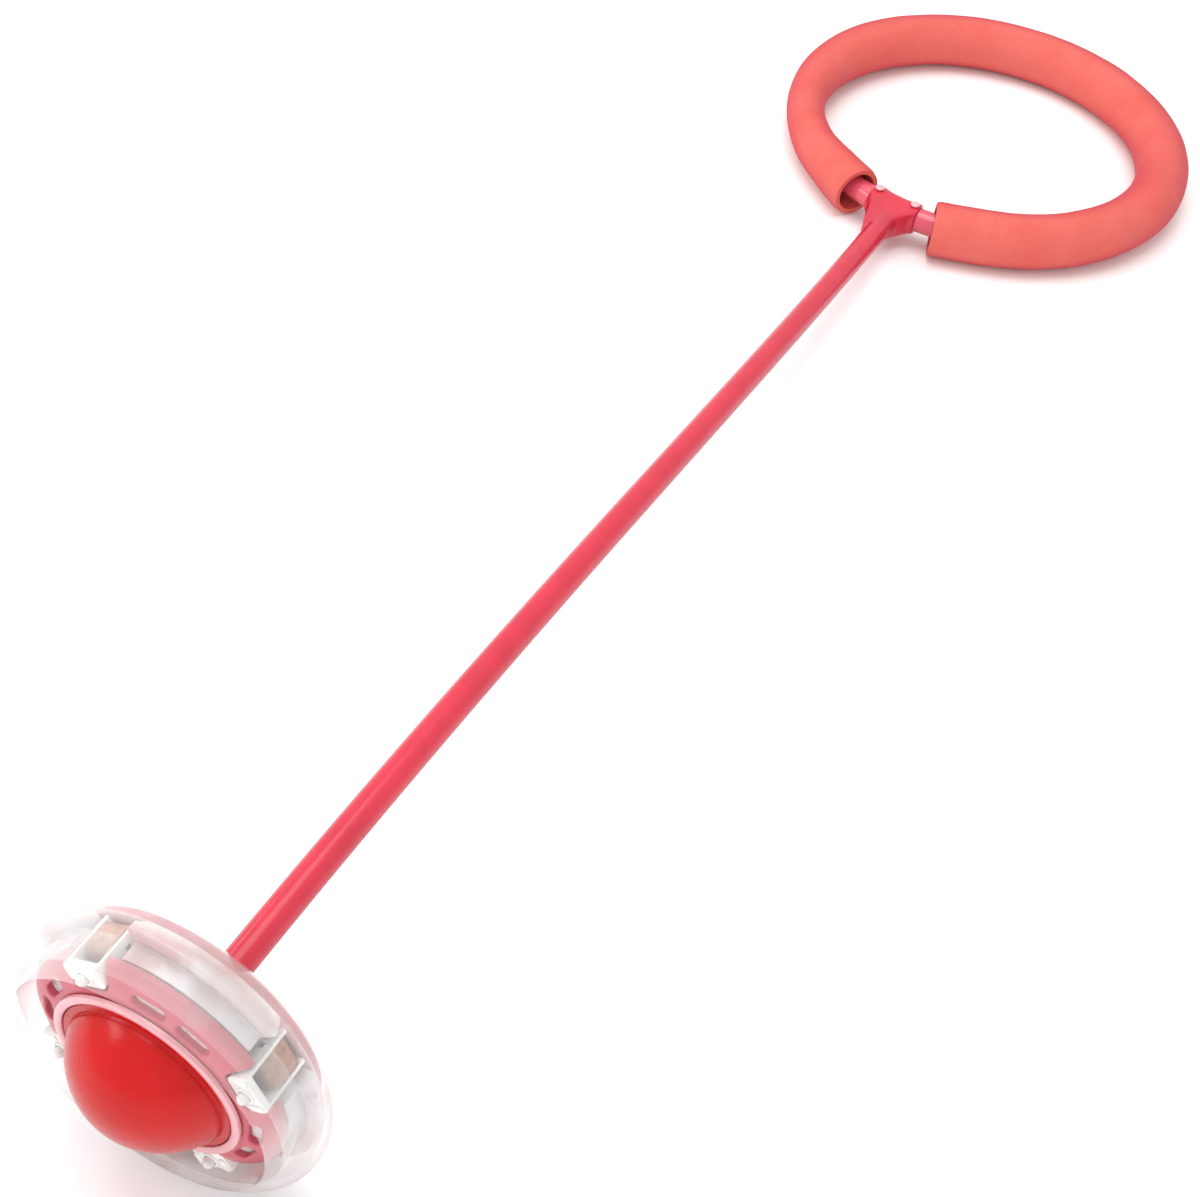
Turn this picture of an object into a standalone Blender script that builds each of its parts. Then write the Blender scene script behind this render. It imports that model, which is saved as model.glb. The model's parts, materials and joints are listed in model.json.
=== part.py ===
"""Ankle skip toy: a foam-covered ankle ring, a long moulded rod and a roller wheel that turns on the rod's end.

The toy lies as it does on a floor, with its length along X: the wheel stands on its tyre at the -X end and the
ring lies flat at the +X end. The origin is on the floor, at the middle of the toy's length.
"""
import math

import bmesh
import bpy
from mathutils import Matrix, Vector

MM = 0.001
GAP = 0.3 * MM  # between neighbouring pieces
CUT_REACH = 3 * MM  # how far a cutter sticks out of what it cuts

# Tyre, measured along the wheel's own axis from its middle: minus is the dome's side, plus is the rod's
TYRE_R = 45 * MM
TYRE_HALF_WIDTH = 19.6 * MM  # of the whole rounded profile, before the bore cuts it short
TYRE_ROUNDNESS = 2.15  # exponent of the profile: 2 is an ellipse, more is squarer
TYRE_BORE_R = 36.3 * MM
TYRE_WALL = 2.2 * MM
TYRE_BORE_END = 2.2 * MM  # the bore wall runs from the front lip to here, and the rest is open

# Flanges, hub and bearings
FLANGE_R = 36 * MM
FLANGE_THICK = 2 * MM
FRONT_FACE = -7.7 * MM
DISH_START_R = 26.5 * MM  # outside this radius the front flange bends back
DISH_DEPTH = 3.5 * MM
REAR_FACE = 12 * MM
REAR_THICK = 2.5 * MM
BEARING_R = 12 * MM
BARREL_R = 18 * MM
BUSH_LENGTH = 4 * MM
FRONT_BUSH_X = -8.5 * MM
REAR_BUSH_X = 7.4 * MM
MAGNET_R = 10 * MM
MAGNET_SPAN = (-1 * MM, 6.8 * MM)

# Axle, and what is threaded on it
AXLE_R = 2.5 * MM
AXLE_CLEARANCE = 0.08 * MM
AXLE_SPAN = (-15 * MM, 37 * MM)
WASHER_R = 6 * MM
WASHER_THICK = 0.8 * MM
NUT_ACROSS_CORNERS_R = 4.8 * MM
NUT_THICK = 3.6 * MM
ROD_START = 12.8 * MM

# Dome and the ring that holds it
DOME_R = 22.2 * MM
DOME_TIP = -24.5 * MM
DOME_EDGE = -9.7 * MM
DOME_WALL = 1.8 * MM
DOME_LIP_R = 24.3 * MM
DOME_LIP = -8.8 * MM
SOCKET_BORE_R = 24.6 * MM
SOCKET_R = 27 * MM
SOCKET_TOP = -9.4 * MM

# Flashing modules, evenly round the wheel, and the slots between them
MODULES = 4
MODULE_START = math.radians(61)  # turn of the first one about the wheel's axis, from straight up
NOTCH_WIDTH = 12.6 * MM
NOTCH_FLOOR_R = 28.4 * MM
NOTCH_CORNER_R = 2.6 * MM
SLOT_R = 30 * MM
SLOT_LENGTH = 9.5 * MM
SLOT_WIDTH = 3.2 * MM
SLOT_TURN = math.radians(12)  # to each side of the middle between two modules
CARRIER_HALF_WIDTH = 5.6 * MM
CARRIER_FRONT = -7 * MM
CARRIER_REAR = 8.7 * MM
CARRIER_INNER_R = 28.9 * MM
CARRIER_CORNER_R = 2.2 * MM
CARRIER_OUTER_R = 35.6 * MM
PLATE_THICK = 2 * MM
CHEEK_THICK = 1 * MM
COIL_X = 3.1 * MM
COIL_R = 32.4 * MM
COIL_LENGTH = 10 * MM
COIL_DEPTH = 6.6 * MM
COIL_CORNER_R = 1.6 * MM
SPINDLE = 3.6 * MM
CORE = 1.6 * MM
LAMP_R = 1.6 * MM
LAMP_TIP = -9.7 * MM

# Screws that join the flanges through the barrel
SCREW_CIRCLE_R = 15.2 * MM
SCREW_R = 1.25 * MM
SCREW_HOLE_R = 1.55 * MM
SCREW_HEAD_R = 2.4 * MM
SCREW_HEAD_THICK = 1.7 * MM
SCREW_TIP = -7.3 * MM

# Rod, fork and ring
ROD_R = 4.5 * MM
RING_FROM_WHEEL = 563 * MM
RING_R = 77 * MM  # of the hoop's centre line
FOAM_R = 11 * MM
FOAM_BORE_R = 6.9 * MM
HOOP_R = 4.6 * MM
HOOP_BORE_R = 3 * MM
ARM_R = 5.6 * MM
ARM_END_R = 6.3 * MM
WHEEL_TILT = math.radians(3)  # of the wheel's axis, which rises towards the ring
FORK_DROP = math.radians(5)  # of the rod where it meets the fork
FORK_SIDEWAYS = math.radians(2.2)  # of the rod towards +Y, where it meets the fork

# Turns round the ring's centre. The fork is a little off the line of the wheel's axis, and the rest is from the fork
FORK_TURN = math.radians(7)
ARM_TURN = math.radians(8)
HOOP_TURN = math.radians(3.2)
SOCKET_TURN = math.radians(2.9)
RIVET_TURN = math.radians(6.2)
FOAM_TURN = math.radians(13)
RIVET_R = 1.1 * MM
RIVET_HEAD_R = 1.9 * MM
RIVET_HEAD_THICK = 0.7 * MM
RIVET_TIP = -2 * MM  # below the ring's plane, inside the hoop's bore
WEB_REACH = 13 * MM
WEB_NARROWING = (10 * MM, 6.2 * MM)  # where the web's hollow sides are pulled to: out from the hoop, and sideways
WEB_SPAN = (-5.4 * MM, 4.2 * MM)  # from the ring's plane
FORK_FLAT = 5 * MM  # from the ring's plane down to the flat under the fork

RING_Z = FOAM_R
AXIS_Z = TYRE_R
DOME_SPHERE_R = (DOME_R**2 + (DOME_EDGE - DOME_TIP) ** 2) / (2 * (DOME_EDGE - DOME_TIP))
DOME_REACH = DOME_SPHERE_R - (DOME_TIP + DOME_SPHERE_R) * math.cos(WHEEL_TILT)
WHEEL_X = (DOME_REACH - RING_FROM_WHEEL - RING_R - FOAM_R) / 2
RING_X = WHEEL_X + RING_FROM_WHEEL
ROUND = 48  # sides of a large turned piece
FINE = 20  # sides of a small one

COLOURS = {
    "rod": (0.84, 0.06, 0.12, 0.25, 0.0),
    "foam": (0.82, 0.10, 0.08, 0.8, 0.0),
    "hoop": (0.75, 0.08, 0.12, 0.3, 0.0),
    "clear": (0.93, 0.94, 0.93, 0.08, 0.0),
    "flange": (0.78, 0.24, 0.30, 0.3, 0.0),
    "dome": (0.70, 0.02, 0.02, 0.2, 0.0),
    "pale": (0.88, 0.68, 0.70, 0.3, 0.0),
    "carrier": (0.88, 0.88, 0.85, 0.4, 0.0),
    "copper": (0.48, 0.22, 0.12, 0.4, 0.8),
    "lamp": (0.92, 0.92, 0.90, 0.1, 0.0),
    "steel": (0.60, 0.60, 0.60, 0.3, 1.0),
    "magnet": (0.10, 0.10, 0.11, 0.5, 0.3),
    "bearing": (0.80, 0.80, 0.76, 0.5, 0.0),
}


def clear_scene():
    for obj in list(bpy.data.objects):
        bpy.data.objects.remove(obj)


def material(name):
    found = bpy.data.materials.get(name) or bpy.data.materials.new(name)
    red, green, blue, roughness, metallic = COLOURS[name]
    found.use_nodes = True
    shader = found.node_tree.nodes["Principled BSDF"]
    shader.inputs["Base Color"].default_value = (red, green, blue, 1)
    shader.inputs["Roughness"].default_value = roughness
    shader.inputs["Metallic"].default_value = metallic
    return found


def piece(name, shape, finish, parent=None):
    """A named object from a bmesh, which is closed and made to face outwards."""
    bmesh.ops.remove_doubles(shape, verts=shape.verts, dist=MM / 1000)
    bmesh.ops.recalc_face_normals(shape, faces=shape.faces)
    mesh = bpy.data.meshes.new(name)
    shape.to_mesh(mesh)
    shape.free()
    mesh.materials.append(material(finish))
    mesh.shade_smooth()
    mesh.set_sharp_from_angle(angle=math.radians(35))
    obj = bpy.data.objects.new(name, mesh)
    bpy.context.collection.objects.link(obj)
    obj.parent = parent
    return obj


def helper(name, shape, parent=None):
    """A cutter or a shape to join, which isn't a piece of its own."""
    obj = piece(name, shape, "steel", parent)
    obj.hide_render = True
    obj.display_type = "WIRE"
    return obj


def combine(obj, operation, *others):
    for other in others:
        modifier = obj.modifiers.new(other.name, "BOOLEAN")
        modifier.operation = operation
        modifier.object = other
    return obj


def spun(outline, sides=ROUND):
    """A closed outline of (x, radius) points, spun round the X axis."""
    shape = bmesh.new()
    corners = [shape.verts.new((x, 0, radius)) for x, radius in outline]
    edges = [shape.edges.new(pair) for pair in zip(corners, corners[1:] + corners[:1], strict=True)]
    bmesh.ops.spin(
        shape,
        geom=corners + edges,
        cent=(0, 0, 0),
        axis=(1, 0, 0),
        angle=2 * math.pi,
        steps=sides,
        use_merge=True,
    )
    return shape


def tube_outline(start, end, outer, inner):
    return [(start, outer), (end, outer), (end, inner), (start, inner)]


def rod_outline(start, end, radius):
    return [(start, 0), (start, radius), (end, radius), (end, 0)]


def prism(shape, outline, start, end, place=None):
    """A flat outline of (y, z) points, carried along X from start to end, then put in its place."""
    base = shape.faces.new([shape.verts.new((start, y, z)) for y, z in outline])
    made = bmesh.ops.extrude_face_region(shape, geom=[base])["geom"]
    far = [v for v in made if isinstance(v, bmesh.types.BMVert)]
    bmesh.ops.translate(shape, verts=far, vec=(end - start, 0, 0))
    if place:
        bmesh.ops.transform(shape, matrix=place, verts=far + list(base.verts))
    return shape


def arc(centre_y, centre_z, radius, start, end, steps):
    turns = [start + (end - start) * step / steps for step in range(steps + 1)]
    return [(centre_y + radius * math.cos(turn), centre_z + radius * math.sin(turn)) for turn in turns]


def about_axle(turn):
    return Matrix.Rotation(turn, 4, "X")


def module_turns():
    return [MODULE_START + index * 2 * math.pi / MODULES for index in range(MODULES)]


def block(shape, x_span, y_span, z_span):
    (y0, y1), (z0, z1) = y_span, z_span
    return prism(shape, [(y0, z0), (y1, z0), (y1, z1), (y0, z1)], *x_span)


# Wheel


def tread_curve(inset, front_r, rear_r, steps):
    """The rounded profile, this far inside the tread, from one radius at the front over the top to one at the rear."""
    top, half_width = TYRE_R - inset, TYRE_HALF_WIDTH - inset
    front = math.asin((front_r / top) ** (TYRE_ROUNDNESS / 2))
    rear = math.pi - math.asin((rear_r / top) ** (TYRE_ROUNDNESS / 2))
    points = []
    for step in range(steps + 1):
        turn = front + (rear - front) * step / steps
        along = math.copysign(abs(math.cos(turn)) ** (2 / TYRE_ROUNDNESS), math.cos(turn))
        points.append((-half_width * along, top * math.sin(turn) ** (2 / TYRE_ROUNDNESS)))
    return points


def tyre_outline():
    """A hollow shell: the tread, its two lips, and a bore wall from the front lip to behind the front flange."""
    bore_wall_r = TYRE_BORE_R + TYRE_WALL
    outer = tread_curve(0, TYRE_BORE_R, TYRE_BORE_R, 12)
    inner = tread_curve(TYRE_WALL, bore_wall_r, TYRE_BORE_R, 10)[::-1]
    return [*outer, *inner, (TYRE_BORE_END, bore_wall_r), (TYRE_BORE_END, TYRE_BORE_R)]


def dish(radius):
    """How far the front flange has bent back at this radius."""
    beyond = max(0.0, radius - DISH_START_R) / (FLANGE_R - DISH_START_R)
    return DISH_DEPTH * beyond**2


def notch_outline(half_width, floor, top, corner):
    """Straight sides, an open top and a floor with round corners."""
    middle = half_width - corner
    left = arc(-middle, floor + corner, corner, math.pi, 1.5 * math.pi, 4)
    right = arc(middle, floor + corner, corner, 1.5 * math.pi, 2 * math.pi, 4)
    return [*left, *right, (half_width, top), (-half_width, top)]


def front_flange(parent):
    radii = [BEARING_R + GAP, DISH_START_R] + [
        DISH_START_R + (FLANGE_R - DISH_START_R) * step / 4 for step in range(1, 5)
    ]
    front = [(FRONT_FACE + dish(radius), radius) for radius in radii]
    back = [(x + FLANGE_THICK, radius) for x, radius in reversed(front)]
    flange = piece("front_flange", spun(front + back), "flange", parent)
    cuts = bmesh.new()
    notch = notch_outline(NOTCH_WIDTH / 2, NOTCH_FLOOR_R, FLANGE_R + CUT_REACH, NOTCH_CORNER_R)
    reach = (SLOT_LENGTH - SLOT_WIDTH) / 2
    slot = arc(reach, SLOT_R, SLOT_WIDTH / 2, -math.pi / 2, math.pi / 2, 6)
    slot += arc(-reach, SLOT_R, SLOT_WIDTH / 2, math.pi / 2, 3 * math.pi / 2, 6)
    span = (FRONT_FACE - CUT_REACH, FRONT_FACE + DISH_DEPTH + FLANGE_THICK + CUT_REACH)
    for turn in module_turns():
        prism(cuts, notch, *span, about_axle(turn))
        prism(cuts, screw_hole_outline(), *span, about_axle(turn))
        for side in (-1, 1):
            prism(cuts, slot, *span, about_axle(turn + math.pi / MODULES + side * SLOT_TURN))
    return combine(flange, "DIFFERENCE", helper("front_flange_cuts", cuts, parent))


def screw_hole_outline():
    sides = 12
    return arc(0, SCREW_CIRCLE_R, SCREW_HOLE_R, 0, 2 * math.pi * (sides - 1) / sides, sides - 1)


def screw_hole_cutter(name, parent):
    cuts = bmesh.new()
    for turn in module_turns():
        prism(cuts, screw_hole_outline(), FRONT_FACE - CUT_REACH, REAR_FACE + CUT_REACH, about_axle(turn))
    return helper(name, cuts, parent)


def dome_cap(parent):
    inner_sphere_r = DOME_SPHERE_R - DOME_WALL
    centre = DOME_TIP + DOME_SPHERE_R
    edge = math.asin(DOME_R / DOME_SPHERE_R)
    inner_edge = math.asin((DOME_R - DOME_WALL) / inner_sphere_r)
    steps = 7
    outer = [
        (centre - DOME_SPHERE_R * math.cos(edge * step / steps), DOME_SPHERE_R * math.sin(edge * step / steps))
        for step in range(steps + 1)
    ]
    inner = [
        (centre - inner_sphere_r * math.cos(inner_edge * step / steps),
         inner_sphere_r * math.sin(inner_edge * step / steps))
        for step in range(steps, -1, -1)
    ]
    base = FRONT_FACE - GAP
    lip = [(DOME_LIP, DOME_R), (DOME_LIP, DOME_LIP_R), (base, DOME_LIP_R), (base, DOME_R - DOME_WALL)]
    return piece("dome_cap", spun(outer + lip + inner, 36), "dome", parent)


def socket_ring(parent):
    base = FRONT_FACE - GAP
    middle = (SOCKET_BORE_R + SOCKET_R) / 2
    half = (SOCKET_R - SOCKET_BORE_R) / 2
    shoulder = SOCKET_TOP + half / 2
    top = [
        (shoulder - half / 2 * math.sin(turn), middle - half * math.cos(turn))
        for turn in [math.pi * step / 4 for step in range(5)]
    ]
    return piece("socket_ring", spun([(base, SOCKET_BORE_R), *top, (base, SOCKET_R)], 40), "pale", parent)


def module_carrier(name, turn, parent):
    """A front plate, two cheeks and a hollow spindle between them, made upright and turned into place."""
    plate = notch_outline(CARRIER_HALF_WIDTH, CARRIER_INNER_R, CARRIER_OUTER_R, CARRIER_CORNER_R)
    shape = prism(bmesh.new(), plate, CARRIER_FRONT, CARRIER_FRONT + PLATE_THICK)
    carrier = piece(name, shape, "carrier", parent)
    overlap = PLATE_THICK / 2
    for side in (-1, 1):
        outer = side * CARRIER_HALF_WIDTH
        inner = side * (CARRIER_HALF_WIDTH - CHEEK_THICK)
        cheek = block(
            bmesh.new(),
            (CARRIER_FRONT + overlap, CARRIER_REAR),
            (min(outer, inner), max(outer, inner)),
            (CARRIER_INNER_R + CARRIER_CORNER_R * 0.8, CARRIER_OUTER_R - overlap / 10),
        )
        combine(carrier, "UNION", placed(helper(f"{name}_cheek_{side}", cheek, parent), turn))
    reach = CARRIER_HALF_WIDTH - CHEEK_THICK / 2
    spindle = bar(SPINDLE, reach)
    bore = bar(CORE + 2 * GAP, CARRIER_HALF_WIDTH + CUT_REACH)
    combine(carrier, "UNION", placed(helper(f"{name}_spindle", spindle, parent), turn))
    combine(carrier, "DIFFERENCE", placed(helper(f"{name}_bore", bore, parent), turn))
    return placed(carrier, turn)


def placed(obj, turn):
    obj.rotation_euler.x = turn
    return obj


def bar(thick, reach):
    """A square bar through the middle of a coil."""
    half = thick / 2
    return block(bmesh.new(), (COIL_X - half, COIL_X + half), (-reach, reach), (COIL_R - half, COIL_R + half))


def copper_coil(name, turn, parent):
    half_length, half_depth = COIL_LENGTH / 2, COIL_DEPTH / 2
    reach = CARRIER_HALF_WIDTH - CHEEK_THICK - GAP
    outline = []
    for index, (side_x, side_z) in enumerate([(1, 1), (-1, 1), (-1, -1), (1, -1)]):
        start = index * math.pi / 2
        outline += arc(
            side_x * (half_length - COIL_CORNER_R),
            side_z * (half_depth - COIL_CORNER_R),
            COIL_CORNER_R,
            start,
            start + math.pi / 2,
            3,
        )
    shape = bmesh.new()
    stand = Matrix.Translation((COIL_X, 0, COIL_R)) @ Matrix.Rotation(math.pi / 2, 4, "Z")
    prism(shape, outline, -reach, reach, stand)
    coil = piece(name, shape, "copper", parent)
    opening = helper(f"{name}_opening", bar(SPINDLE + 2 * GAP, reach + CUT_REACH), parent)
    return placed(combine(coil, "DIFFERENCE", placed(opening, turn)), turn)


def lamp(name, turn, parent):
    base = CARRIER_FRONT - GAP
    shoulder = LAMP_TIP + LAMP_R
    nose = [
        (shoulder - LAMP_R * math.cos(bend), LAMP_R * math.sin(bend))
        for bend in [math.pi / 2 * step / 4 for step in range(5)]
    ]
    shape = spun([*nose, (base, LAMP_R), (base, 0)], 12)
    bmesh.ops.translate(shape, verts=shape.verts, vec=(0, 0, COIL_R))
    return placed(piece(name, shape, "lamp", parent), turn)


def flange_screw(name, turn, parent):
    head = REAR_FACE + GAP
    outline = [
        (SCREW_TIP, 0),
        (SCREW_TIP, SCREW_R),
        (head, SCREW_R),
        (head, SCREW_HEAD_R),
        (head + SCREW_HEAD_THICK / 2, SCREW_HEAD_R),
        (head + SCREW_HEAD_THICK, SCREW_HEAD_R / 2),
        (head + SCREW_HEAD_THICK, 0),
    ]
    shape = spun(outline, 12)
    bmesh.ops.translate(shape, verts=shape.verts, vec=(0, 0, SCREW_CIRCLE_R))
    return placed(piece(name, shape, "steel", parent), turn)


def build_wheel(parent):
    piece("clear_tyre", spun(tyre_outline()), "clear", parent)
    front_flange(parent)
    rear = tube_outline(REAR_FACE - REAR_THICK, REAR_FACE, FLANGE_R, BEARING_R + GAP)
    rear_flange = piece("rear_flange", spun(rear), "flange", parent)
    combine(rear_flange, "DIFFERENCE", screw_hole_cutter("rear_flange_holes", parent))
    barrel_span = (FRONT_FACE + FLANGE_THICK + GAP, REAR_FACE - REAR_THICK - GAP)
    barrel = piece(
        "hub_barrel", spun(tube_outline(*barrel_span, BARREL_R, BEARING_R + GAP)), "flange", parent
    )
    combine(barrel, "DIFFERENCE", screw_hole_cutter("hub_barrel_holes", parent))
    for name, start in (("bush_front", FRONT_BUSH_X), ("bush_rear", REAR_BUSH_X)):
        outline = tube_outline(start, start + BUSH_LENGTH, BEARING_R, AXLE_R + AXLE_CLEARANCE)
        piece(name, spun(outline, FINE), "bearing", parent)
    dome_cap(parent)
    socket_ring(parent)
    for index, turn in enumerate(module_turns(), 1):
        module_carrier(f"module_carrier_{index}", turn, parent)
        copper_coil(f"copper_coil_{index}", turn, parent)
        core = bar(CORE, CARRIER_HALF_WIDTH)
        placed(piece(f"coil_core_{index}", core, "steel", parent), turn)
        lamp(f"lamp_{index}", turn, parent)
        flange_screw(f"flange_screw_{index}", turn, parent)


# What the wheel turns on


def build_axle(parent):
    piece("axle", spun(rod_outline(*AXLE_SPAN, AXLE_R), FINE), "steel", parent)
    magnet = tube_outline(*MAGNET_SPAN, MAGNET_R, AXLE_R + GAP)
    piece("magnet_ring", spun(magnet, FINE), "magnet", parent)
    front_washer = FRONT_BUSH_X - GAP - WASHER_THICK
    rear_washer = REAR_BUSH_X + BUSH_LENGTH + GAP
    for name, start in (("washer_front", front_washer), ("washer_rear", rear_washer)):
        outline = tube_outline(start, start + WASHER_THICK, WASHER_R, AXLE_R + GAP)
        piece(name, spun(outline, FINE), "steel", parent)
    nut = bmesh.new()
    hexagon = arc(0, 0, NUT_ACROSS_CORNERS_R, 0, 2 * math.pi * 5 / 6, 5)
    prism(nut, hexagon, front_washer - GAP - NUT_THICK, front_washer - GAP)
    hole = spun(rod_outline(AXLE_SPAN[0] - CUT_REACH, 0, AXLE_R + GAP), FINE)
    combine(piece("lock_nut", nut, "steel", parent), "DIFFERENCE", helper("lock_nut_hole", hole, parent))


# Rod and fork


def wheel_axis():
    return Vector((math.cos(WHEEL_TILT), 0, math.sin(WHEEL_TILT)))


def rod_path(steps):
    """Points of the rod's middle line: it leaves along the wheel's axis and bends down to the fork."""
    start = Vector((WHEEL_X, 0, AXIS_Z)) + wheel_axis() * ROD_START
    end = ring_point(0)
    span = (end - start).length
    leave = wheel_axis() * span
    level = math.cos(FORK_DROP)
    heading = (level * math.cos(FORK_SIDEWAYS), level * math.sin(FORK_SIDEWAYS), -math.sin(FORK_DROP))
    arrive = Vector(heading) * span
    points = []
    for step in range(steps + 1):
        u = step / steps
        points.append(
            (2 * u**3 - 3 * u**2 + 1) * start
            + (u**3 - 2 * u**2 + u) * leave
            + (3 * u**2 - 2 * u**3) * end
            + (u**3 - u**2) * arrive
        )
    return points


def ring_point(turn, radius=RING_R):
    """A point of the ring's plane, by its turn round the ring from the fork towards +Y."""
    whole = FORK_TURN + turn
    return Vector((RING_X - radius * math.cos(whole), radius * math.sin(whole), RING_Z))


def swept(points, radii, sides, bore=None):
    """A round tube along points, solid or with a bore, with flat ends square to the path."""
    shape = bmesh.new()
    loops, inner_loops = [], []
    for index, point in enumerate(points):
        ahead = points[min(index + 1, len(points) - 1)]
        behind = points[max(index - 1, 0)]
        along = (ahead - behind).normalized()
        side = along.cross(Vector((0, 0, 1))).normalized()
        up = side.cross(along)
        turns = [2 * math.pi * step / sides for step in range(sides)]
        spokes = [side * math.cos(turn) + up * math.sin(turn) for turn in turns]
        loops.append([shape.verts.new(point + spoke * radii[index]) for spoke in spokes])
        if bore:
            inner_loops.append([shape.verts.new(point + spoke * bore) for spoke in spokes])
    join_rows(shape, loops)
    if bore:
        join_rows(shape, inner_loops)
        for outer, inner in ((loops[0], inner_loops[0]), (loops[-1], inner_loops[-1])):
            join_rows(shape, [outer, inner])
    else:
        shape.faces.new(loops[0])
        shape.faces.new(loops[-1])
    return shape


def join_rows(shape, rows):
    for row, following in zip(rows, rows[1:], strict=False):
        for index in range(len(row)):
            after = (index + 1) % len(row)
            shape.faces.new((row[index], row[after], following[after], following[index]))


def ring_arc(start, end, steps):
    return [ring_point(start + (end - start) * step / steps) for step in range(steps + 1)]


def web_outline():
    """The web of the fork, from the ring's centre along X: a hollow curve from each side of the rod to an arm's end."""
    arm_turn, arm_r = ARM_TURN * 0.95, RING_R + ARM_R * 0.8
    rod_side = Vector((-RING_R - ARM_R - WEB_REACH, ROD_R * 0.8))
    corner = Vector((-RING_R - WEB_NARROWING[0], WEB_NARROWING[1]))
    arm_side = Vector((-arm_r * math.cos(arm_turn), arm_r * math.sin(arm_turn)))
    steps = 8
    curve = []
    for step in range(steps + 1):
        u = step / steps
        point = (1 - u) ** 2 * rod_side + 2 * u * (1 - u) * corner + u**2 * arm_side
        curve.append((point.x, point.y))
    inner = (-RING_R * math.cos(arm_turn), RING_R * math.sin(arm_turn))
    middle = (ARM_R / 2 - RING_R, 0)
    right = [(x, -y) for x, y in reversed(curve)]
    return [*curve, inner, middle, (inner[0], -inner[1]), *right]


def fork_stand():
    """From the fork's own directions, with the ring's centre as its origin and the ring's far side along X."""
    return Matrix.Translation((RING_X, 0, RING_Z)) @ Matrix.Rotation(-FORK_TURN, 4, "Z")


def fork_web():
    web = bmesh.new()
    upright = Matrix(((0, 1, 0, 0), (0, 0, 1, 0), (1, 0, 0, 0), (0, 0, 0, 1)))
    prism(web, web_outline(), *WEB_SPAN, fork_stand() @ upright)
    return helper("fork_web", web)


def fork_flat():
    """Cuts the fork's underside flat."""
    flat = bmesh.new()
    reach = 2 * WEB_REACH
    block(flat, (-RING_R - reach, reach - RING_R), (-reach, reach), (-2 * RING_Z, -FORK_FLAT))
    bmesh.ops.transform(flat, matrix=fork_stand(), verts=flat.verts)
    return helper("fork_flat", flat)


def build_rod_fork():
    points = rod_path(22)
    radii = [ROD_R] * (len(points) - 1) + [ARM_R * 0.9]
    rod = piece("rod_fork", swept(points, radii, 12), "rod")
    steps = 10
    arms = ring_arc(-ARM_TURN, ARM_TURN, steps)
    flare = [ARM_R + (ARM_END_R - ARM_R) * (2 * step / steps - 1) ** 2 for step in range(steps + 1)]
    combine(rod, "UNION", helper("fork_arms", swept(arms, flare, 16)), fork_web())
    for side in (-1, 1):
        socket = ring_arc(side * SOCKET_TURN, side * (ARM_TURN + SOCKET_TURN), 4)
        cutter = helper(f"socket_bore_{side}", swept(socket, [HOOP_R + GAP] * 5, 10))
        combine(rod, "DIFFERENCE", cutter, rivet_hole(f"rod_rivet_hole_{side}", side))
    combine(rod, "DIFFERENCE", fork_flat())
    bore = spun(rod_outline(ROD_START - CUT_REACH, AXLE_SPAN[1] + GAP, AXLE_R + GAP), FINE)
    return combine(rod, "DIFFERENCE", helper("axle_bore", bore, bpy.data.objects["wheel_axis"]))


def on_end(shape, side):
    """Stands a shape made along X upright on one end of the hoop, with its minus end up."""
    stand = Matrix.Translation(ring_point(side * RIVET_TURN)) @ Matrix.Rotation(math.pi / 2, 4, "Y")
    bmesh.ops.transform(shape, matrix=stand, verts=shape.verts)
    return shape


def rivet_hole(name, side):
    """A hole from above the fork to the middle of the hoop's bore."""
    return helper(name, on_end(spun(rod_outline(-2 * ARM_END_R, -RIVET_TIP + GAP, RIVET_R + GAP), 12), side))


def hoop_rivet(name, side):
    """A snap rivet from above the fork's arm into the hoop's end."""
    top = -ARM_END_R - GAP
    outline = [
        (top - RIVET_HEAD_THICK, 0),
        (top - RIVET_HEAD_THICK, RIVET_HEAD_R / 2),
        (top, RIVET_HEAD_R),
        (top, RIVET_R),
        (-RIVET_TIP, RIVET_R),
        (-RIVET_TIP, 0),
    ]
    return piece(name, on_end(spun(outline, 12), side), "pale")


def build_hoop():
    full = 2 * math.pi
    steps = 36
    hoop = swept(ring_arc(HOOP_TURN, full - HOOP_TURN, steps), [HOOP_R] * (steps + 1), 10, HOOP_BORE_R)
    tube = piece("hoop_tube", hoop, "hoop")
    for name, side in (("left", 1), ("right", -1)):
        combine(tube, "DIFFERENCE", rivet_hole(f"hoop_rivet_hole_{name}", side))
        hoop_rivet(f"hoop_rivet_{name}", side)
    foam = swept(ring_arc(FOAM_TURN, full - FOAM_TURN, steps), [FOAM_R] * (steps + 1), 16, FOAM_BORE_R)
    piece("foam_sleeve", foam, "foam")


def build():
    clear_scene()
    axis = bpy.data.objects.new("wheel_axis", None)
    bpy.context.collection.objects.link(axis)
    axis.location = (WHEEL_X, 0, AXIS_Z)
    axis.rotation_euler.y = -WHEEL_TILT
    build_wheel(axis)
    build_axle(axis)
    build_rod_fork()
    build_hoop()


build()
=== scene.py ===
# %% [markdown]
# # An ankle skip toy
# The toy is a foam-covered ring for one ankle, a long moulded rod and a roller wheel on its far end. The
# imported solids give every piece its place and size. This lesson makes the fine surfaces over them, wires
# their finishes and sets up a plain studio. Lengths are in metres, and the floor is at height zero.

# %% The frame
import json
import math

import bmesh
import bpy
from mathutils import Matrix, Vector, noise


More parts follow.
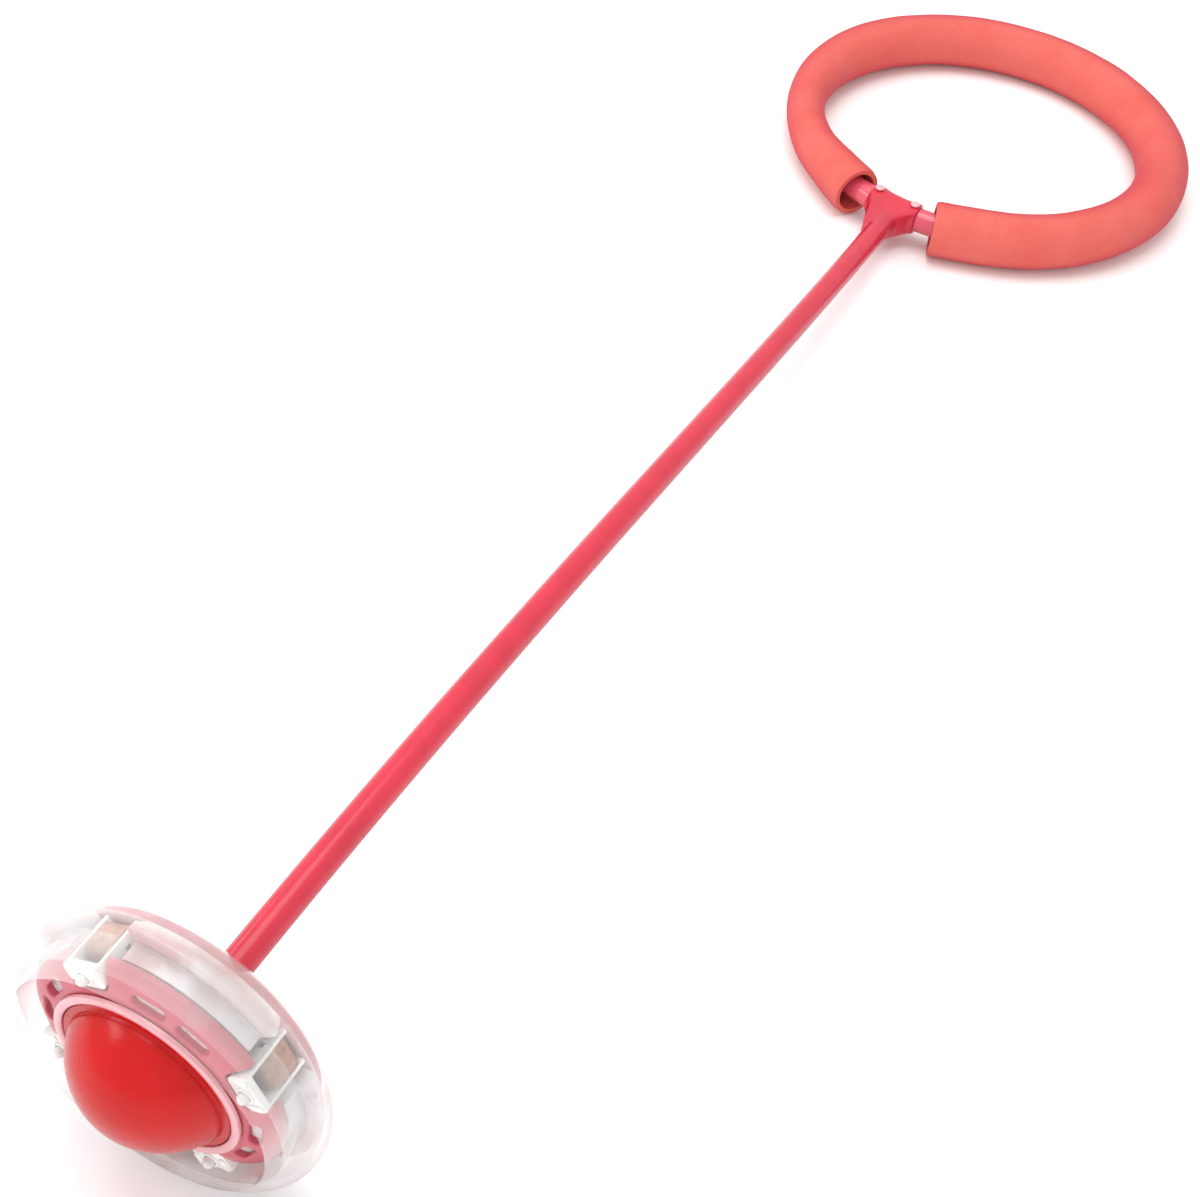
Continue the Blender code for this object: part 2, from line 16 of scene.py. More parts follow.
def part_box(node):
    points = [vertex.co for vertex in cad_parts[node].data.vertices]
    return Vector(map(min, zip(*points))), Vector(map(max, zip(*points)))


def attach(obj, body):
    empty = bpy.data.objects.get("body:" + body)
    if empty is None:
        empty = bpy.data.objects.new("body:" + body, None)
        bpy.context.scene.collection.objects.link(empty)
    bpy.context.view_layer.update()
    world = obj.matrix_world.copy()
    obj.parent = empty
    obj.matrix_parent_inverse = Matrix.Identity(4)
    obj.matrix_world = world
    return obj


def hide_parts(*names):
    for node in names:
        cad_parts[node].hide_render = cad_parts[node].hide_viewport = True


MM = 0.001
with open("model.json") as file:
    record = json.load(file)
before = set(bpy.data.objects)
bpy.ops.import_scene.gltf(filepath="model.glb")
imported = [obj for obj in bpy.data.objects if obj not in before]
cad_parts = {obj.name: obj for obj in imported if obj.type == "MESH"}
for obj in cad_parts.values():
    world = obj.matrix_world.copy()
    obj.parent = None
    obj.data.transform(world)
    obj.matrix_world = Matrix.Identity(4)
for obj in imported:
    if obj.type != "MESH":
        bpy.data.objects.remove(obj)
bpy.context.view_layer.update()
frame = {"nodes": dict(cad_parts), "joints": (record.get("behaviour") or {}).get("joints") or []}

# %% [markdown]
# ## Measuring the solids
# The wheel leans back by three degrees, so its boxes in the floor's directions say little about it. It is
# measured in its own directions instead: X runs along the axle, from the dome's side to the rod's side, and
# Z is up. The joint in the record gives both the middle of the wheel and the axle's direction.

# %% The wheel's own directions
spin_joint = next(joint for joint in frame["joints"] if joint["name"] == "wheel_spin")
axle_line = Vector(spin_joint["axis"]).normalized()
wheel_turn = axle_line.to_track_quat("X", "Z").to_matrix().to_4x4()
wheel_place = Matrix.Translation(Vector(spin_joint["pos_m"])) @ wheel_turn
into_wheel = wheel_place.inverted()


def span_on_axle(node):
    """Where a solid starts and ends along the axle, and its least and greatest distance from it."""
    points = [into_wheel @ vertex.co for vertex in frame["nodes"][node].data.vertices]
    along = [point.x for point in points]
    out = [math.hypot(point.y, point.z) for point in points]
    return min(along), max(along), min(out), max(out)


def box_of(node):
    return [Vector(corner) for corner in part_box(node)]


def turn_on_axle(node):
    """The turn of a solid's middle about the axle, from straight up."""
    low, high = box_of(node)
    middle = into_wheel @ ((low + high) / 2)
    return math.atan2(-middle.y, middle.z)


for name in ("clear_tyre", "front_flange", "rear_flange", "dome_cap", "socket_ring", "copper_coil_1"):
    print(name, [round(size / MM, 2) for size in span_on_axle(name)])

# %% [markdown]
# ## Making meshes
# Most pieces are turned or swept: an outline goes round an axle, or a circle goes along a path. Blender has
# modifiers for both, but rows of points computed here give closed shells with even quads and need no
# merging of distant ends. Every shell is merged, faced outwards and shaded smooth, with its folds kept
# sharp.

# %% Shells, turned pieces and swept pieces
def spread(start, end, steps):
    """Even steps from start to end, with both ends."""
    return [start + (end - start) * step / steps for step in range(steps + 1)]


def join_rows(shape, rows, closed=False):
    following = rows[1:] + rows[:1] if closed else rows[1:]
    for row, after in zip(rows, following, strict=False):
        for index in range(len(row)):
            step = (index + 1) % len(row)
            shape.faces.new((row[index], row[step], after[step], after[index]))


def bar(shape, rows):
    """Rows joined in order, with a face over each end."""
    join_rows(shape, rows)
    shape.faces.new(rows[0])
    shape.faces.new(rows[-1])


def turned(outline, sides):
    """A closed outline of (along, out) points, carried round the X axis."""
    shape = bmesh.new()
    turns = [2 * math.pi * step / sides for step in range(sides)]
    rows = [[shape.verts.new((x, out * math.sin(t), out * math.cos(t))) for t in turns] for x, out in outline]
    join_rows(shape, rows, closed=True)
    return shape


def swept(path, radii, sides=48, shape=None, bores=None, ridge=0.0):
    """A round bar along points, or a tube if bores are given, with a moulding ridge along both its sides."""
    shape = shape or bmesh.new()
    turns = [2 * math.pi * step / sides for step in range(sides)]
    raised = [ridge if step % (sides // 2) == 0 else 0.0 for step in range(sides)]
    rows, bore_rows = [], []
    for index, point in enumerate(path):
        ahead, behind = path[min(index + 1, len(path) - 1)], path[max(index - 1, 0)]
        side = (ahead - behind).cross(Vector((0, 0, 1))).normalized()
        up = side.cross(ahead - behind).normalized()
        spokes = [side * math.cos(t) + up * math.sin(t) for t in turns]
        reaches = [radii[index] + extra for extra in raised]
        rows.append([shape.verts.new(point + s * r) for s, r in zip(spokes, reaches, strict=True)])
        if bores:
            bore_rows.append([shape.verts.new(point + s * bores[index]) for s in spokes])
    if bores:
        join_rows(shape, rows + bore_rows[::-1], closed=True)
    else:
        bar(shape, rows)
    return shape


ON_AXLE = MM / 100  # nearer to the axle than this counts as on it
MERGE = MM / 500


def drawn_curve(start, corner, end, steps):
    """Points from start to end on a curve that is drawn towards the corner."""
    shares = spread(0, 1, steps)
    curve = [(1 - u) ** 2 * start + 2 * u * (1 - u) * corner + u**2 * end for u in shares]
    return [(point.x, point.y) for point in curve]


def rounded_end(tip, depth, out, steps):
    """A quarter of an ellipse, from the tip on the axle to its full distance out."""
    return [(tip + depth * (1 - math.cos(t)), out * math.sin(t)) for t in spread(0, math.pi / 2, steps)]


def softened(outline, reach, steps=4):
    """A closed outline with each corner rounded off, starting at most this far from it."""
    points = []
    for index, (x, y) in enumerate(outline):
        corner = Vector((x, y))
        before, after = Vector(outline[index - 1]), Vector(outline[(index + 1) % len(outline)])
        start = corner + (before - corner).normalized() * min(reach, (before - corner).length * 0.45)
        end = corner + (after - corner).normalized() * min(reach, (after - corner).length * 0.45)
        if corner.y < ON_AXLE:
            points.append((corner.x, 0.0))
        else:
            points += drawn_curve(start, corner, end, steps)
    return points


def shell(name, shape, place=None, sharp=35):
    """The object of a finished shape, with its place in its mesh."""
    bmesh.ops.remove_doubles(shape, verts=shape.verts, dist=MERGE)
    bmesh.ops.dissolve_degenerate(shape, edges=shape.edges, dist=MERGE / 2)
    bmesh.ops.recalc_face_normals(shape, faces=shape.faces)
    if place:
        bmesh.ops.transform(shape, matrix=place, verts=shape.verts)
    mesh = bpy.data.meshes.new(name)
    shape.to_mesh(mesh)
    shape.free()
    mesh.shade_smooth()
    mesh.set_sharp_from_angle(angle=math.radians(sharp))
    made = bpy.data.objects.new(name, mesh)
    bpy.context.scene.collection.objects.link(made)
    return made


def bake(piece):
    """Works a piece's modifiers into its mesh."""
    worked = bpy.data.meshes.new_from_object(piece.evaluated_get(bpy.context.evaluated_depsgraph_get()))
    piece.modifiers.clear()
    piece.data = worked


def cut_away(blank, *cutters, operation="DIFFERENCE", sharp=35):
    """The blank after each cutter, or joined to each, as one plain mesh."""
    for cutter in cutters:
        modifier = blank.modifiers.new(cutter.name, "BOOLEAN")
        modifier.operation, modifier.object = operation, cutter
    bake(blank)
    for cutter in cutters:
        bpy.data.objects.remove(cutter)
    blank.data.shade_smooth()
    blank.data.set_sharp_from_angle(angle=math.radians(sharp))
    return blank


print("Ready to turn, sweep, cut and join")

# %% [markdown]
# ## Wiring finishes
# A finish is one Principled shader with a few textures in front of it. Writing shader sums as ordinary
# Python sums keeps them readable, so a small class wraps an output and makes a Math node for each sum.

# %% Sums on sockets, and one helper for every other node
class Signal:
    """A number that changes over a surface. A sum on it adds a Math node."""

    def __init__(self, finish, socket):
        self.finish, self.socket = finish, socket

    def sum_with(self, operation, first, second):
        made = self.finish.node("ShaderNodeMath", {"operation": operation}, {0: first, 1: second})
        return Signal(self.finish, made.outputs[0])

    def __add__(self, other):
        return self.sum_with("ADD", self, other)

    def __radd__(self, other):
        return self.sum_with("ADD", other, self)

    def __sub__(self, other):
        return self.sum_with("SUBTRACT", self, other)

    def __rsub__(self, other):
        return self.sum_with("SUBTRACT", other, self)

    def __mul__(self, other):
        return self.sum_with("MULTIPLY", self, other)

    def __rmul__(self, other):
        return self.sum_with("MULTIPLY", other, self)


def feed(tree, socket, value):
    """Joins a socket to a signal or to another socket, or gives it a value."""
    if isinstance(value, Signal):
        value = value.socket
    if isinstance(value, bpy.types.NodeSocket):
        tree.links.new(value, socket)
    else:
        socket.default_value = value


def wired(tree, kind, settings=None, inputs=None):
    made = tree.nodes.new(kind)
    for key, value in (settings or {}).items():
        setattr(made, key, value)
    for key, value in (inputs or {}).items():
        feed(tree, made.inputs[key], value)
    return made


class Finish:
    """A material while it is being wired: one Principled shader and what feeds it."""

    def __init__(self, name, **constants):
        self.material = bpy.data.materials.new(name)
        self.material.use_nodes = True
        self.tree = self.material.node_tree
        self.shader = self.tree.nodes["Principled BSDF"]
        for socket, value in constants.items():
            self.shader.inputs[socket.replace("_", " ")].default_value = value
        self.place = self.node("ShaderNodeTexCoord").outputs["Object"]

    def node(self, kind, settings=None, inputs=None):
        return wired(self.tree, kind, settings, inputs)

    def feed(self, name, value):
        feed(self.tree, self.shader.inputs[name], value)
        return self

    def clouds(self, size, detail=3.0):
        """Soft noise with features of about this size."""
        inputs = {"Vector": self.place, "Scale": 1 / size, "Detail": detail, "Roughness": 0.55}
        return Signal(self, self.node("ShaderNodeTexNoise", None, inputs).outputs["Fac"])

    def cells(self, size):
        """The distance to the nearest of many points, this far apart."""
        inputs = {"Vector": self.place, "Scale": 1 / size, "Randomness": 1.0}
        return Signal(self, self.node("ShaderNodeTexVoronoi", None, inputs).outputs["Distance"])

    def edge_on(self, blend=0.5):
        return Signal(self, self.node("ShaderNodeLayerWeight", None, {"Blend": blend}).outputs["Facing"])

    def between(self, value, low, high, start=0.0, end=1.0):
        """The value's range low to high, carried to start to end and clamped."""
        inputs = {"Value": value, "From Min": low, "From Max": high, "To Min": start, "To Max": end}
        made = self.node("ShaderNodeMapRange", {"interpolation_type": "SMOOTHSTEP"}, inputs)
        return Signal(self, made.outputs["Result"])

    def mixed(self, share, colour, other):
        """Two colours mixed: share 0 is the first and 1 is the second."""
        opaque = [(*c, 1.0) if isinstance(c, tuple) and len(c) == 3 else c for c in (colour, other)]
        made = self.node("ShaderNodeMix", {"data_type": "RGBA"}, {0: share, 6: opaque[0], 7: opaque[1]})
        return made.outputs[2]

    def colour(self, value):
        return self.feed("Base Color", value)

    def roughness(self, value):
        return self.feed("Roughness", value)

    def relief(self, *layers):
        """Bumps one on another, each a (height signal, depth) pair."""
        normal = None
        for height, depth in layers:
            inputs = {"Height": height, "Distance": depth, "Strength": 1.0}
            if normal is not None:
                inputs["Normal"] = normal
            normal = self.node("ShaderNodeBump", None, inputs).outputs["Normal"]
        return self.feed("Normal", normal)


# %% [markdown]
# ## Moulded plastics
# The rod, fork and ring tube are glossy plastic that lets a little light in. At a glancing angle the colour
# is mixed towards a darker one, crimson on the red pieces: this is painted shade along the silhouettes.
# Injection moulding leaves a faint orange-peel and fine handling scratches. One recipe with different
# colours covers every moulded piece, as one factory would.

# %% The recipe for a moulded plastic
PEEL_WIDE, PEEL_FINE = 0.1 * MM, 0.006 * MM


def moulded(name, colour, deep, roughness, coat, edge_shade=0.75, light_inside=0.0, gloss=0.5):
    finish = Finish(
        name,
        IOR=1.49,
        Coat_Weight=coat,
        Coat_Roughness=0.12,
        Specular_IOR_Level=gloss,
        Subsurface_Weight=light_inside,
        Subsurface_Radius=(3 * MM, 1 * MM, 1 * MM),
        Subsurface_Scale=1.0,
    )
    tint = finish.between(finish.clouds(14 * MM), 0.35, 0.7)
    shallow = tuple(channel * 0.9 for channel in colour)
    body = finish.mixed(tint, colour, shallow)
    # Painted shade: the colour goes towards the darker one where the surface turns edge-on
    rim = finish.between(finish.edge_on(0.45), 0.35, 1.0, 0.0, edge_shade)
    scratches = finish.between(finish.clouds(2.2 * MM, 5.0), 0.45, 0.75, 0.0, 0.08)
    finish.colour(finish.mixed(rim, body, deep))
    finish.roughness(roughness + scratches)
    wide, fine = finish.clouds(7 * MM, 2.0), finish.clouds(2 * MM, 2.0)
    return finish.relief((wide, PEEL_WIDE), (fine, PEEL_FINE)).material


# Each: colour, darker colour painted in as shade at a glancing angle, roughness, coat
rod_looks = {"edge_shade": 0.95, "light_inside": 0.05, "gloss": 0.3}
rod_plastic = moulded("rod_plastic", (0.62, 0.032, 0.062), (0.42, 0.001, 0.03), 0.25, 0.2, **rod_looks)
hoop_plastic = moulded("hoop_plastic", (0.70, 0.085, 0.13), (0.42, 0.005, 0.03), 0.26, 0.5, light_inside=0.1)
flange_plastic = moulded(
    "flange_plastic", (0.56, 0.10, 0.14), (0.50, 0.03, 0.06), 0.3, 0.15, edge_shade=0.5, gloss=0.3
)
dome_plastic = moulded(
    "dome_plastic", (0.54, 0.006, 0.006), (0.36, 0.004, 0.006), 0.25, 0.12, edge_shade=0.5, gloss=0.22
)
# Paler than the flange: partly the ring's own pale pink, partly a painted highlight along its crest
pale_plastic = moulded("pale_plastic", (0.78, 0.40, 0.43), (0.62, 0.12, 0.16), 0.22, 0.6, edge_shade=0.5)
carrier_plastic = moulded("carrier_plastic", (0.90, 0.90, 0.87), (0.66, 0.64, 0.60), 0.3, 0.4, edge_shade=0.4)
bearing_plastic = moulded("bearing_plastic", (0.80, 0.79, 0.74), (0.6, 0.58, 0.52), 0.45, 0.1, edge_shade=0.3)
print("Moulded finishes wired")

# %% [markdown]
# ## Foam
# The sleeve on the ring is closed-cell foam. Its skin is matt, with open pores smaller than a millimetre
# and a slight unevenness from bending. Cells, a fine grain and a slow cloud give that without any extra
# faces. The pores are darkened with painted shade, and the skin gets painted shade where it turns edge-on.

# %% The foam's finish
def foam_skin():
    finish = Finish("foam", Coat_Weight=0.0, Specular_IOR_Level=0.3, Sheen_Weight=0.12, Sheen_Roughness=0.4)
    pores = finish.between(finish.cells(0.75 * MM), 0.05, 0.5)
    slow = finish.between(finish.clouds(22 * MM, 4.0), 0.3, 0.75)
    grain = finish.between(finish.clouds(0.6 * MM, 5.0), 0.35, 0.7)
    body = finish.mixed(slow, (0.70, 0.150, 0.125), (0.68, 0.115, 0.090))
    # Painted shade in the pores: darker towards the middle of each cell, where the grain is also low
    pores_shaded = finish.mixed(0.25 * (1 - pores * grain), body, (0.62, 0.050, 0.045))
    # Painted shade: towards a dark crimson where the skin turns edge-on
    rim = finish.between(finish.edge_on(0.5), 0.3, 0.94, 0.0, 0.88)
    finish.colour(finish.mixed(rim, pores_shaded, (0.50, 0.012, 0.035)))
    finish.roughness(0.78 + 0.12 * grain)
    return finish.relief((slow, 0.5 * MM), (pores, 0.10 * MM), (grain, 0.05 * MM)).material


foam = foam_skin()
print("Foam finish wired, with", len(foam.node_tree.nodes), "nodes")

# %% [markdown]
# ## Clear urethane
# The tyre's wall is thin and clear. Solid glass in a render bends everything behind it and throws a dark
# shadow, which a thin wall doesn't. So most of the light goes straight through by Alpha. Less of it does
# where the wall is seen edge-on, which is also painted a darker grey-pink as painted shade, and where slow
# clouds paint pink patches, a painted view of the copper coils through the wall. The urethane inside the
# wheel is thicker, so it is cloudy and pale.

# %% The clear and the cloudy urethane
def clear_cast():
    finish = Finish(
        "clear_urethane", Transmission_Weight=0.35, IOR=1.12, Coat_Weight=1.0, Coat_Roughness=0.03
    )
    ripple = finish.clouds(9 * MM, 2.0)
    body = finish.mixed(finish.between(ripple, 0.4, 0.7), (0.97, 0.97, 0.96), (0.93, 0.92, 0.92))
    # Painted pink patches: the copper coils as seen through the wall, painted into its colour and alpha
    painted_coil_patches = finish.between(finish.clouds(24 * MM, 1.5), 0.5, 0.62)
    # Painted shade: a darker grey-pink line where the wall turns edge-on
    rim = finish.between(finish.edge_on(0.5), 0.68, 0.96)
    tinted = finish.mixed(0.7 * painted_coil_patches, body, (0.64, 0.44, 0.41))
    finish.colour(finish.mixed(rim, tinted, (0.42, 0.30, 0.33)))
    finish.roughness(0.03 + 0.05 * finish.between(finish.clouds(3 * MM, 4.0), 0.4, 0.8))
    wall = finish.between(finish.edge_on(0.5), 0.2, 0.9, 0.10, 0.42)
    finish.feed("Alpha", wall + 0.18 * painted_coil_patches + 0.38 * rim)
    return finish.relief((ripple, 0.2 * MM)).material


clear_urethane = clear_cast()


def cloudy_cast(name, swirl_size, pale, tinted):
    finish = Finish(name, Coat_Weight=0.6, Coat_Roughness=0.08, Transmission_Weight=0.2, IOR=1.42)
    swirl = finish.between(finish.clouds(swirl_size, 4.0), 0.4, 0.7)
    finish.colour(finish.mixed(swirl, pale, tinted))
    finish.roughness(0.12 + 0.15 * swirl)
    return finish.relief((swirl, 0.4 * MM)).material


cloudy_urethane = cloudy_cast("cloudy_urethane", 2.5 * MM, (0.93, 0.90, 0.89), (0.82, 0.70, 0.69))
cast_urethane = cloudy_cast("cast_urethane", 16 * MM, (0.94, 0.93, 0.93), (0.72, 0.46, 0.45))
print("Urethanes wired:", clear_urethane.name, cloudy_urethane.name, cast_urethane.name)

# %% [markdown]
# ## Metals and lamps
# Steel pins and screws are turned, so they carry fine rings and a few scratches. Enamelled copper is brown
# and half glossy. The lamps are clear beads over a white base, dark while the wheel stands still.

# %% Steel, copper, magnet and lamp
def worked_metal(name, colour, dull, roughness, metallic=1.0):
    finish = Finish(name, Metallic=metallic, Coat_Weight=0.1)
    wear = finish.between(finish.clouds(2.2 * MM, 5.0), 0.4, 0.75)
    finish.colour(finish.mixed(wear, colour, dull))
    finish.roughness(roughness + 0.18 * wear)
    return finish.relief((finish.clouds(0.3 * MM, 4.0), 0.015 * MM)).material


steel = worked_metal("steel", (0.72, 0.72, 0.73), (0.50, 0.49, 0.48), 0.22)
copper = worked_metal("copper", (0.52, 0.30, 0.24), (0.36, 0.18, 0.13), 0.35, 0.4)
magnet = worked_metal("magnet", (0.09, 0.09, 0.10), (0.05, 0.05, 0.055), 0.5, 0.3)


def lamp_bead():
    finish = Finish("lamp_plastic", Coat_Weight=0.8, Coat_Roughness=0.05, Transmission_Weight=0.3, IOR=1.5)
    haze = finish.between(finish.clouds(0.9 * MM), 0.4, 0.7)
    finish.colour(finish.mixed(haze, (0.95, 0.95, 0.94), (0.82, 0.82, 0.80)))
    finish.roughness(0.06 + 0.1 * haze)
    return finish.relief((haze, 0.03 * MM)).material


lamp_plastic = lamp_bead()
print("Metals and lamp wired")

# %% [markdown]
# ## Handing a piece over
# Every piece needs three things: its finish, the body that it moves with, and the imported solids that it
# stands for. One function gives them all, so that none is forgotten.

# %% Finish, body and replaced solids
def show(piece, finish, body, replaced=()):
    piece.data.materials.clear()
    piece.data.materials.append(finish)
    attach(piece, body)
    if replaced:
        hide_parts(*replaced)
    print(piece.name, len(piece.data.polygons), "faces")
    return piece


# %% [markdown]
# ## The tyre
# The tyre is a hollow, clear shell with a full, rounded tread. A bore wall runs back from its front lip to
# behind the front flange. A torus would be too round: the real profile is squarer, so a superellipse is
# turned about the axle. The inner surface is the same curve, one wall further in.

# %% Turning the tyre
TREAD_SQUARENESS = 2.15
TYRE_WALL = 2.2 * MM
BORE_WALL_END = 2.2 * MM
_, tyre_end, tyre_bore, tyre_out = span_on_axle("clear_tyre")
lip_turn = math.asin((tyre_bore / tyre_out) ** (TREAD_SQUARENESS / 2))
tread_half_width = tyre_end / math.cos(lip_turn) ** (2 / TREAD_SQUARENESS)


def tread_curve(inset, front_out, rear_out, steps):
    """The profile this far inside the tread, between these distances from the axle at its two ends."""
    top, half_width = tyre_out - inset, tread_half_width - inset
    front = math.asin((front_out / top) ** (TREAD_SQUARENESS / 2))
    rear = math.pi - math.asin((rear_out / top) ** (TREAD_SQUARENESS / 2))
    points = []
    for turn in spread(front, rear, steps):
        along = math.copysign(abs(math.cos(turn)) ** (2 / TREAD_SQUARENESS), math.cos(turn))
        points.append((-half_width * along, top * math.sin(turn) ** (2 / TREAD_SQUARENESS)))
    return points


def tyre_outline():
    bore_wall = tyre_bore + TYRE_WALL
    outer = tread_curve(0, tyre_bore, tyre_bore, 44)
    inner = tread_curve(TYRE_WALL, bore_wall, tyre_bore, 40)[::-1]
    return softened([*outer, *inner, (BORE_WALL_END, bore_wall), (BORE_WALL_END, tyre_bore)], 0.5 * MM, 2)


tyre_shape = shell("tyre", turned(tyre_outline(), 192), wheel_place)
show(tyre_shape, clear_urethane, "wheel", ["clear_tyre"])

# %% [markdown]
# ## The front flange
# Seen from the dome's side, the flange is a flat disc that bends back towards the tyre. Four round-bottomed
# notches hold the flashing modules, and two short slots lie between each pair. The disc is turned and the
# openings are cut with a Boolean. Each cutter widens where it leaves the front face, so that the cut edges
# get the small chamfer that catches the light on a moulded edge.

# %% Outlines of the openings
front_face, front_back, hub_bore, flange_out = span_on_axle("front_flange")
FLANGE_THICK = 2 * MM
BEND_START = 26.5 * MM
EDGE_CHAMFER = 0.35 * MM
NOTCH_HALF_WIDTH = 6.3 * MM
NOTCH_FLOOR = 28.4 * MM
SLOT_RADIUS = 30 * MM
SLOT_HALF_WIDTH = 1.6 * MM
SLOT_HALF_LENGTH = 4.75 * MM
SLOT_TURN = math.radians(12)
module_turns = [turn_on_axle(f"copper_coil_{number}") for number in range(1, 5)]
half_gap = math.pi / len(module_turns)  # from a module to the middle of the gap after it
bend_depth = front_back - FLANGE_THICK - front_face
print("The flange bends back", round(bend_depth / MM, 2), "mm")


def bent_back(out):
    """How far back the front face lies at this distance from the axle."""
    return bend_depth * (max(0.0, out - BEND_START) / (flange_out - BEND_START)) ** 2


def arc_points(y, z, radius, start, end, steps=10):
    return [(y + radius * math.cos(t), z + radius * math.sin(t)) for t in spread(start, end, steps)]


def notch_outline(grow):
    half, floor, corner = NOTCH_HALF_WIDTH + grow, NOTCH_FLOOR - grow, 2.6 * MM + grow
    left = arc_points(corner - half, floor + corner, corner, math.pi, 1.5 * math.pi)
    right = arc_points(half - corner, floor + corner, corner, 1.5 * math.pi, 2 * math.pi)
    outer = [flange_out + 3 * MM - 1.1 * MM * step for step in range(5)]
    return [*left, *right, *[(half, z) for z in outer[::-1]], *[(-half, z) for z in outer]]


def slot_outline(grow):
    half, reach = SLOT_HALF_WIDTH + grow, SLOT_HALF_LENGTH - SLOT_HALF_WIDTH
    right = arc_points(reach, SLOT_RADIUS, half, -math.pi / 2, math.pi / 2)
    return right + arc_points(-reach, SLOT_RADIUS, half, math.pi / 2, 1.5 * math.pi)


def opening_cutter(name, outline, turns):
    """Prisms through the bent flange, which widen above its front surface and have flat ends."""
    shape = bmesh.new()
    clear = 0.5 * MM
    wide = clear + EDGE_CHAMFER
    # Each layer: how wide, and its depth from the bent front face, or None for a flat end at this place
    layers = [(wide, None, -3 * MM), (wide, -clear, 0), (0.0, EDGE_CHAMFER, 0), (0.0, None, 14 * MM)]
    for turn in turns:
        about = Matrix.Rotation(turn, 4, "X")
        rows = []
        for grow, depth, end in layers:
            rows.append([])
            for y, z in outline(grow):
                x = end if depth is None else bent_back(math.hypot(y, z)) + depth
                rows[-1].append(shape.verts.new(about @ Vector((front_face + x, y, z))))
        bar(shape, rows)
    return shell(name, shape)


# %% Turning and cutting the flange
def flange_blank_outline(steps=16):
    radii = [hub_bore, 18 * MM, BEND_START - MM, *spread(BEND_START, flange_out, steps)]
    front = [(front_face + bent_back(out), out) for out in radii]
    rim = flange_out - EDGE_CHAMFER
    front[-1] = (front_face + bent_back(rim), rim)
    front.append((front_face + bent_back(flange_out) + EDGE_CHAMFER, flange_out))
    back = [(front_face + bent_back(out) + FLANGE_THICK, out) for out in reversed(radii)]
    return front + back


flange_blank = shell("pink_flange", turned(flange_blank_outline(), 192))
slot_turns = [turn + half_gap + side * SLOT_TURN for turn in module_turns for side in (-1, 1)]
flange_piece = cut_away(
    flange_blank,
    opening_cutter("notches", notch_outline, module_turns),
    opening_cutter("slots", slot_outline, slot_turns),
    sharp=28,
)
flange_piece.data.transform(wheel_place)
show(flange_piece, flange_plastic, "wheel", ["front_flange"])

# %% [markdown]
# ## Urethane inside the wheel
# When the tyre is cast, urethane runs in behind the flange. It sets in the slots, which locks the two
# together, and fills the room between the modules. In the slots it shows as a cloudy, pale filling, and
# behind the tread as pale bands. Both are curved blocks, one between each pair of modules, because a whole
# ring would run through the modules. They carry one outline part of the way round the axle.

# %% Blocks between the modules
def blocks_between(name, outline, reach, steps):
    """An outline of (along, out) points, carried this far to both sides of each gap's middle."""
    shape = bmesh.new()
    for turn in module_turns:
        rows = []
        for t in spread(turn + half_gap - reach, turn + half_gap + reach, steps):
            rows.append([shape.verts.new((x, -out * math.sin(t), out * math.cos(t))) for x, out in outline])
        bar(shape, rows)
    return shell(name, shape, wheel_place)


# %% The pads behind the slots
PAD_REACH = math.radians(25)
PAD_INNER, PAD_OUTER, PAD_THICK = 28 * MM, 32.2 * MM, 1.6 * MM
PAD_DEPTH = 1.9 * MM  # from the flange's front face


def pad_outline():
    corners = [(0.0, PAD_INNER), (0.0, PAD_OUTER), (PAD_THICK, PAD_OUTER), (PAD_THICK, PAD_INNER)]
    rounded = softened(corners, 0.5 * MM, 3)
    return [(front_face + PAD_DEPTH + bent_back(out) + x, out) for x, out in rounded]


pads = blocks_between("slot_filling", pad_outline(), PAD_REACH, 28)
show(pads, cloudy_urethane, "wheel")

# %% The filling behind the tread
CAST_REACH = math.radians(30)
CAST_INNER, CAST_GAP = 33 * MM, 0.4 * MM


def cast_outline():
    """From behind the flange, under the tyre's bore wall and up to its inner surface."""
    front = front_face + bend_depth + FLANGE_THICK + CAST_GAP
    rear = span_on_axle("rear_flange")[0] - CAST_GAP
    step_back = BORE_WALL_END + CAST_GAP
    tread = tread_curve(TYRE_WALL + CAST_GAP, CAST_INNER + 4 * MM, tyre_bore, 40)
    over = [(x, out) for x, out in tread if step_back < x < rear - MM]
    under_bore = [(front, CAST_INNER), (front, flange_out), (step_back, flange_out)]
    behind = [(rear, over[-1][1] - MM), (rear, CAST_INNER)]
    return softened([*under_bore, (step_back, over[0][1] - MM), *over, *behind], 0.6 * MM, 2)


filling = blocks_between("cast_filling", cast_outline(), CAST_REACH, 30)
show(filling, cast_urethane, "wheel")

# %% [markdown]
# ## Dome, its ring and the rear flange
# These are all turned. The dome is part of a sphere with a lip, the ring round it has a half-round top, and
# the rear flange is a flat disc. Their corners are rounded by about a third of a millimetre, as moulded
# ones are.

# %% Turning the dome
dome_tip, dome_base, _, dome_lip_out = span_on_axle("dome_cap")
DOME_OUT, DOME_EDGE, DOME_WALL = 22.2 * MM, -9.7 * MM, 1.8 * MM
DOME_LIP = -8.8 * MM


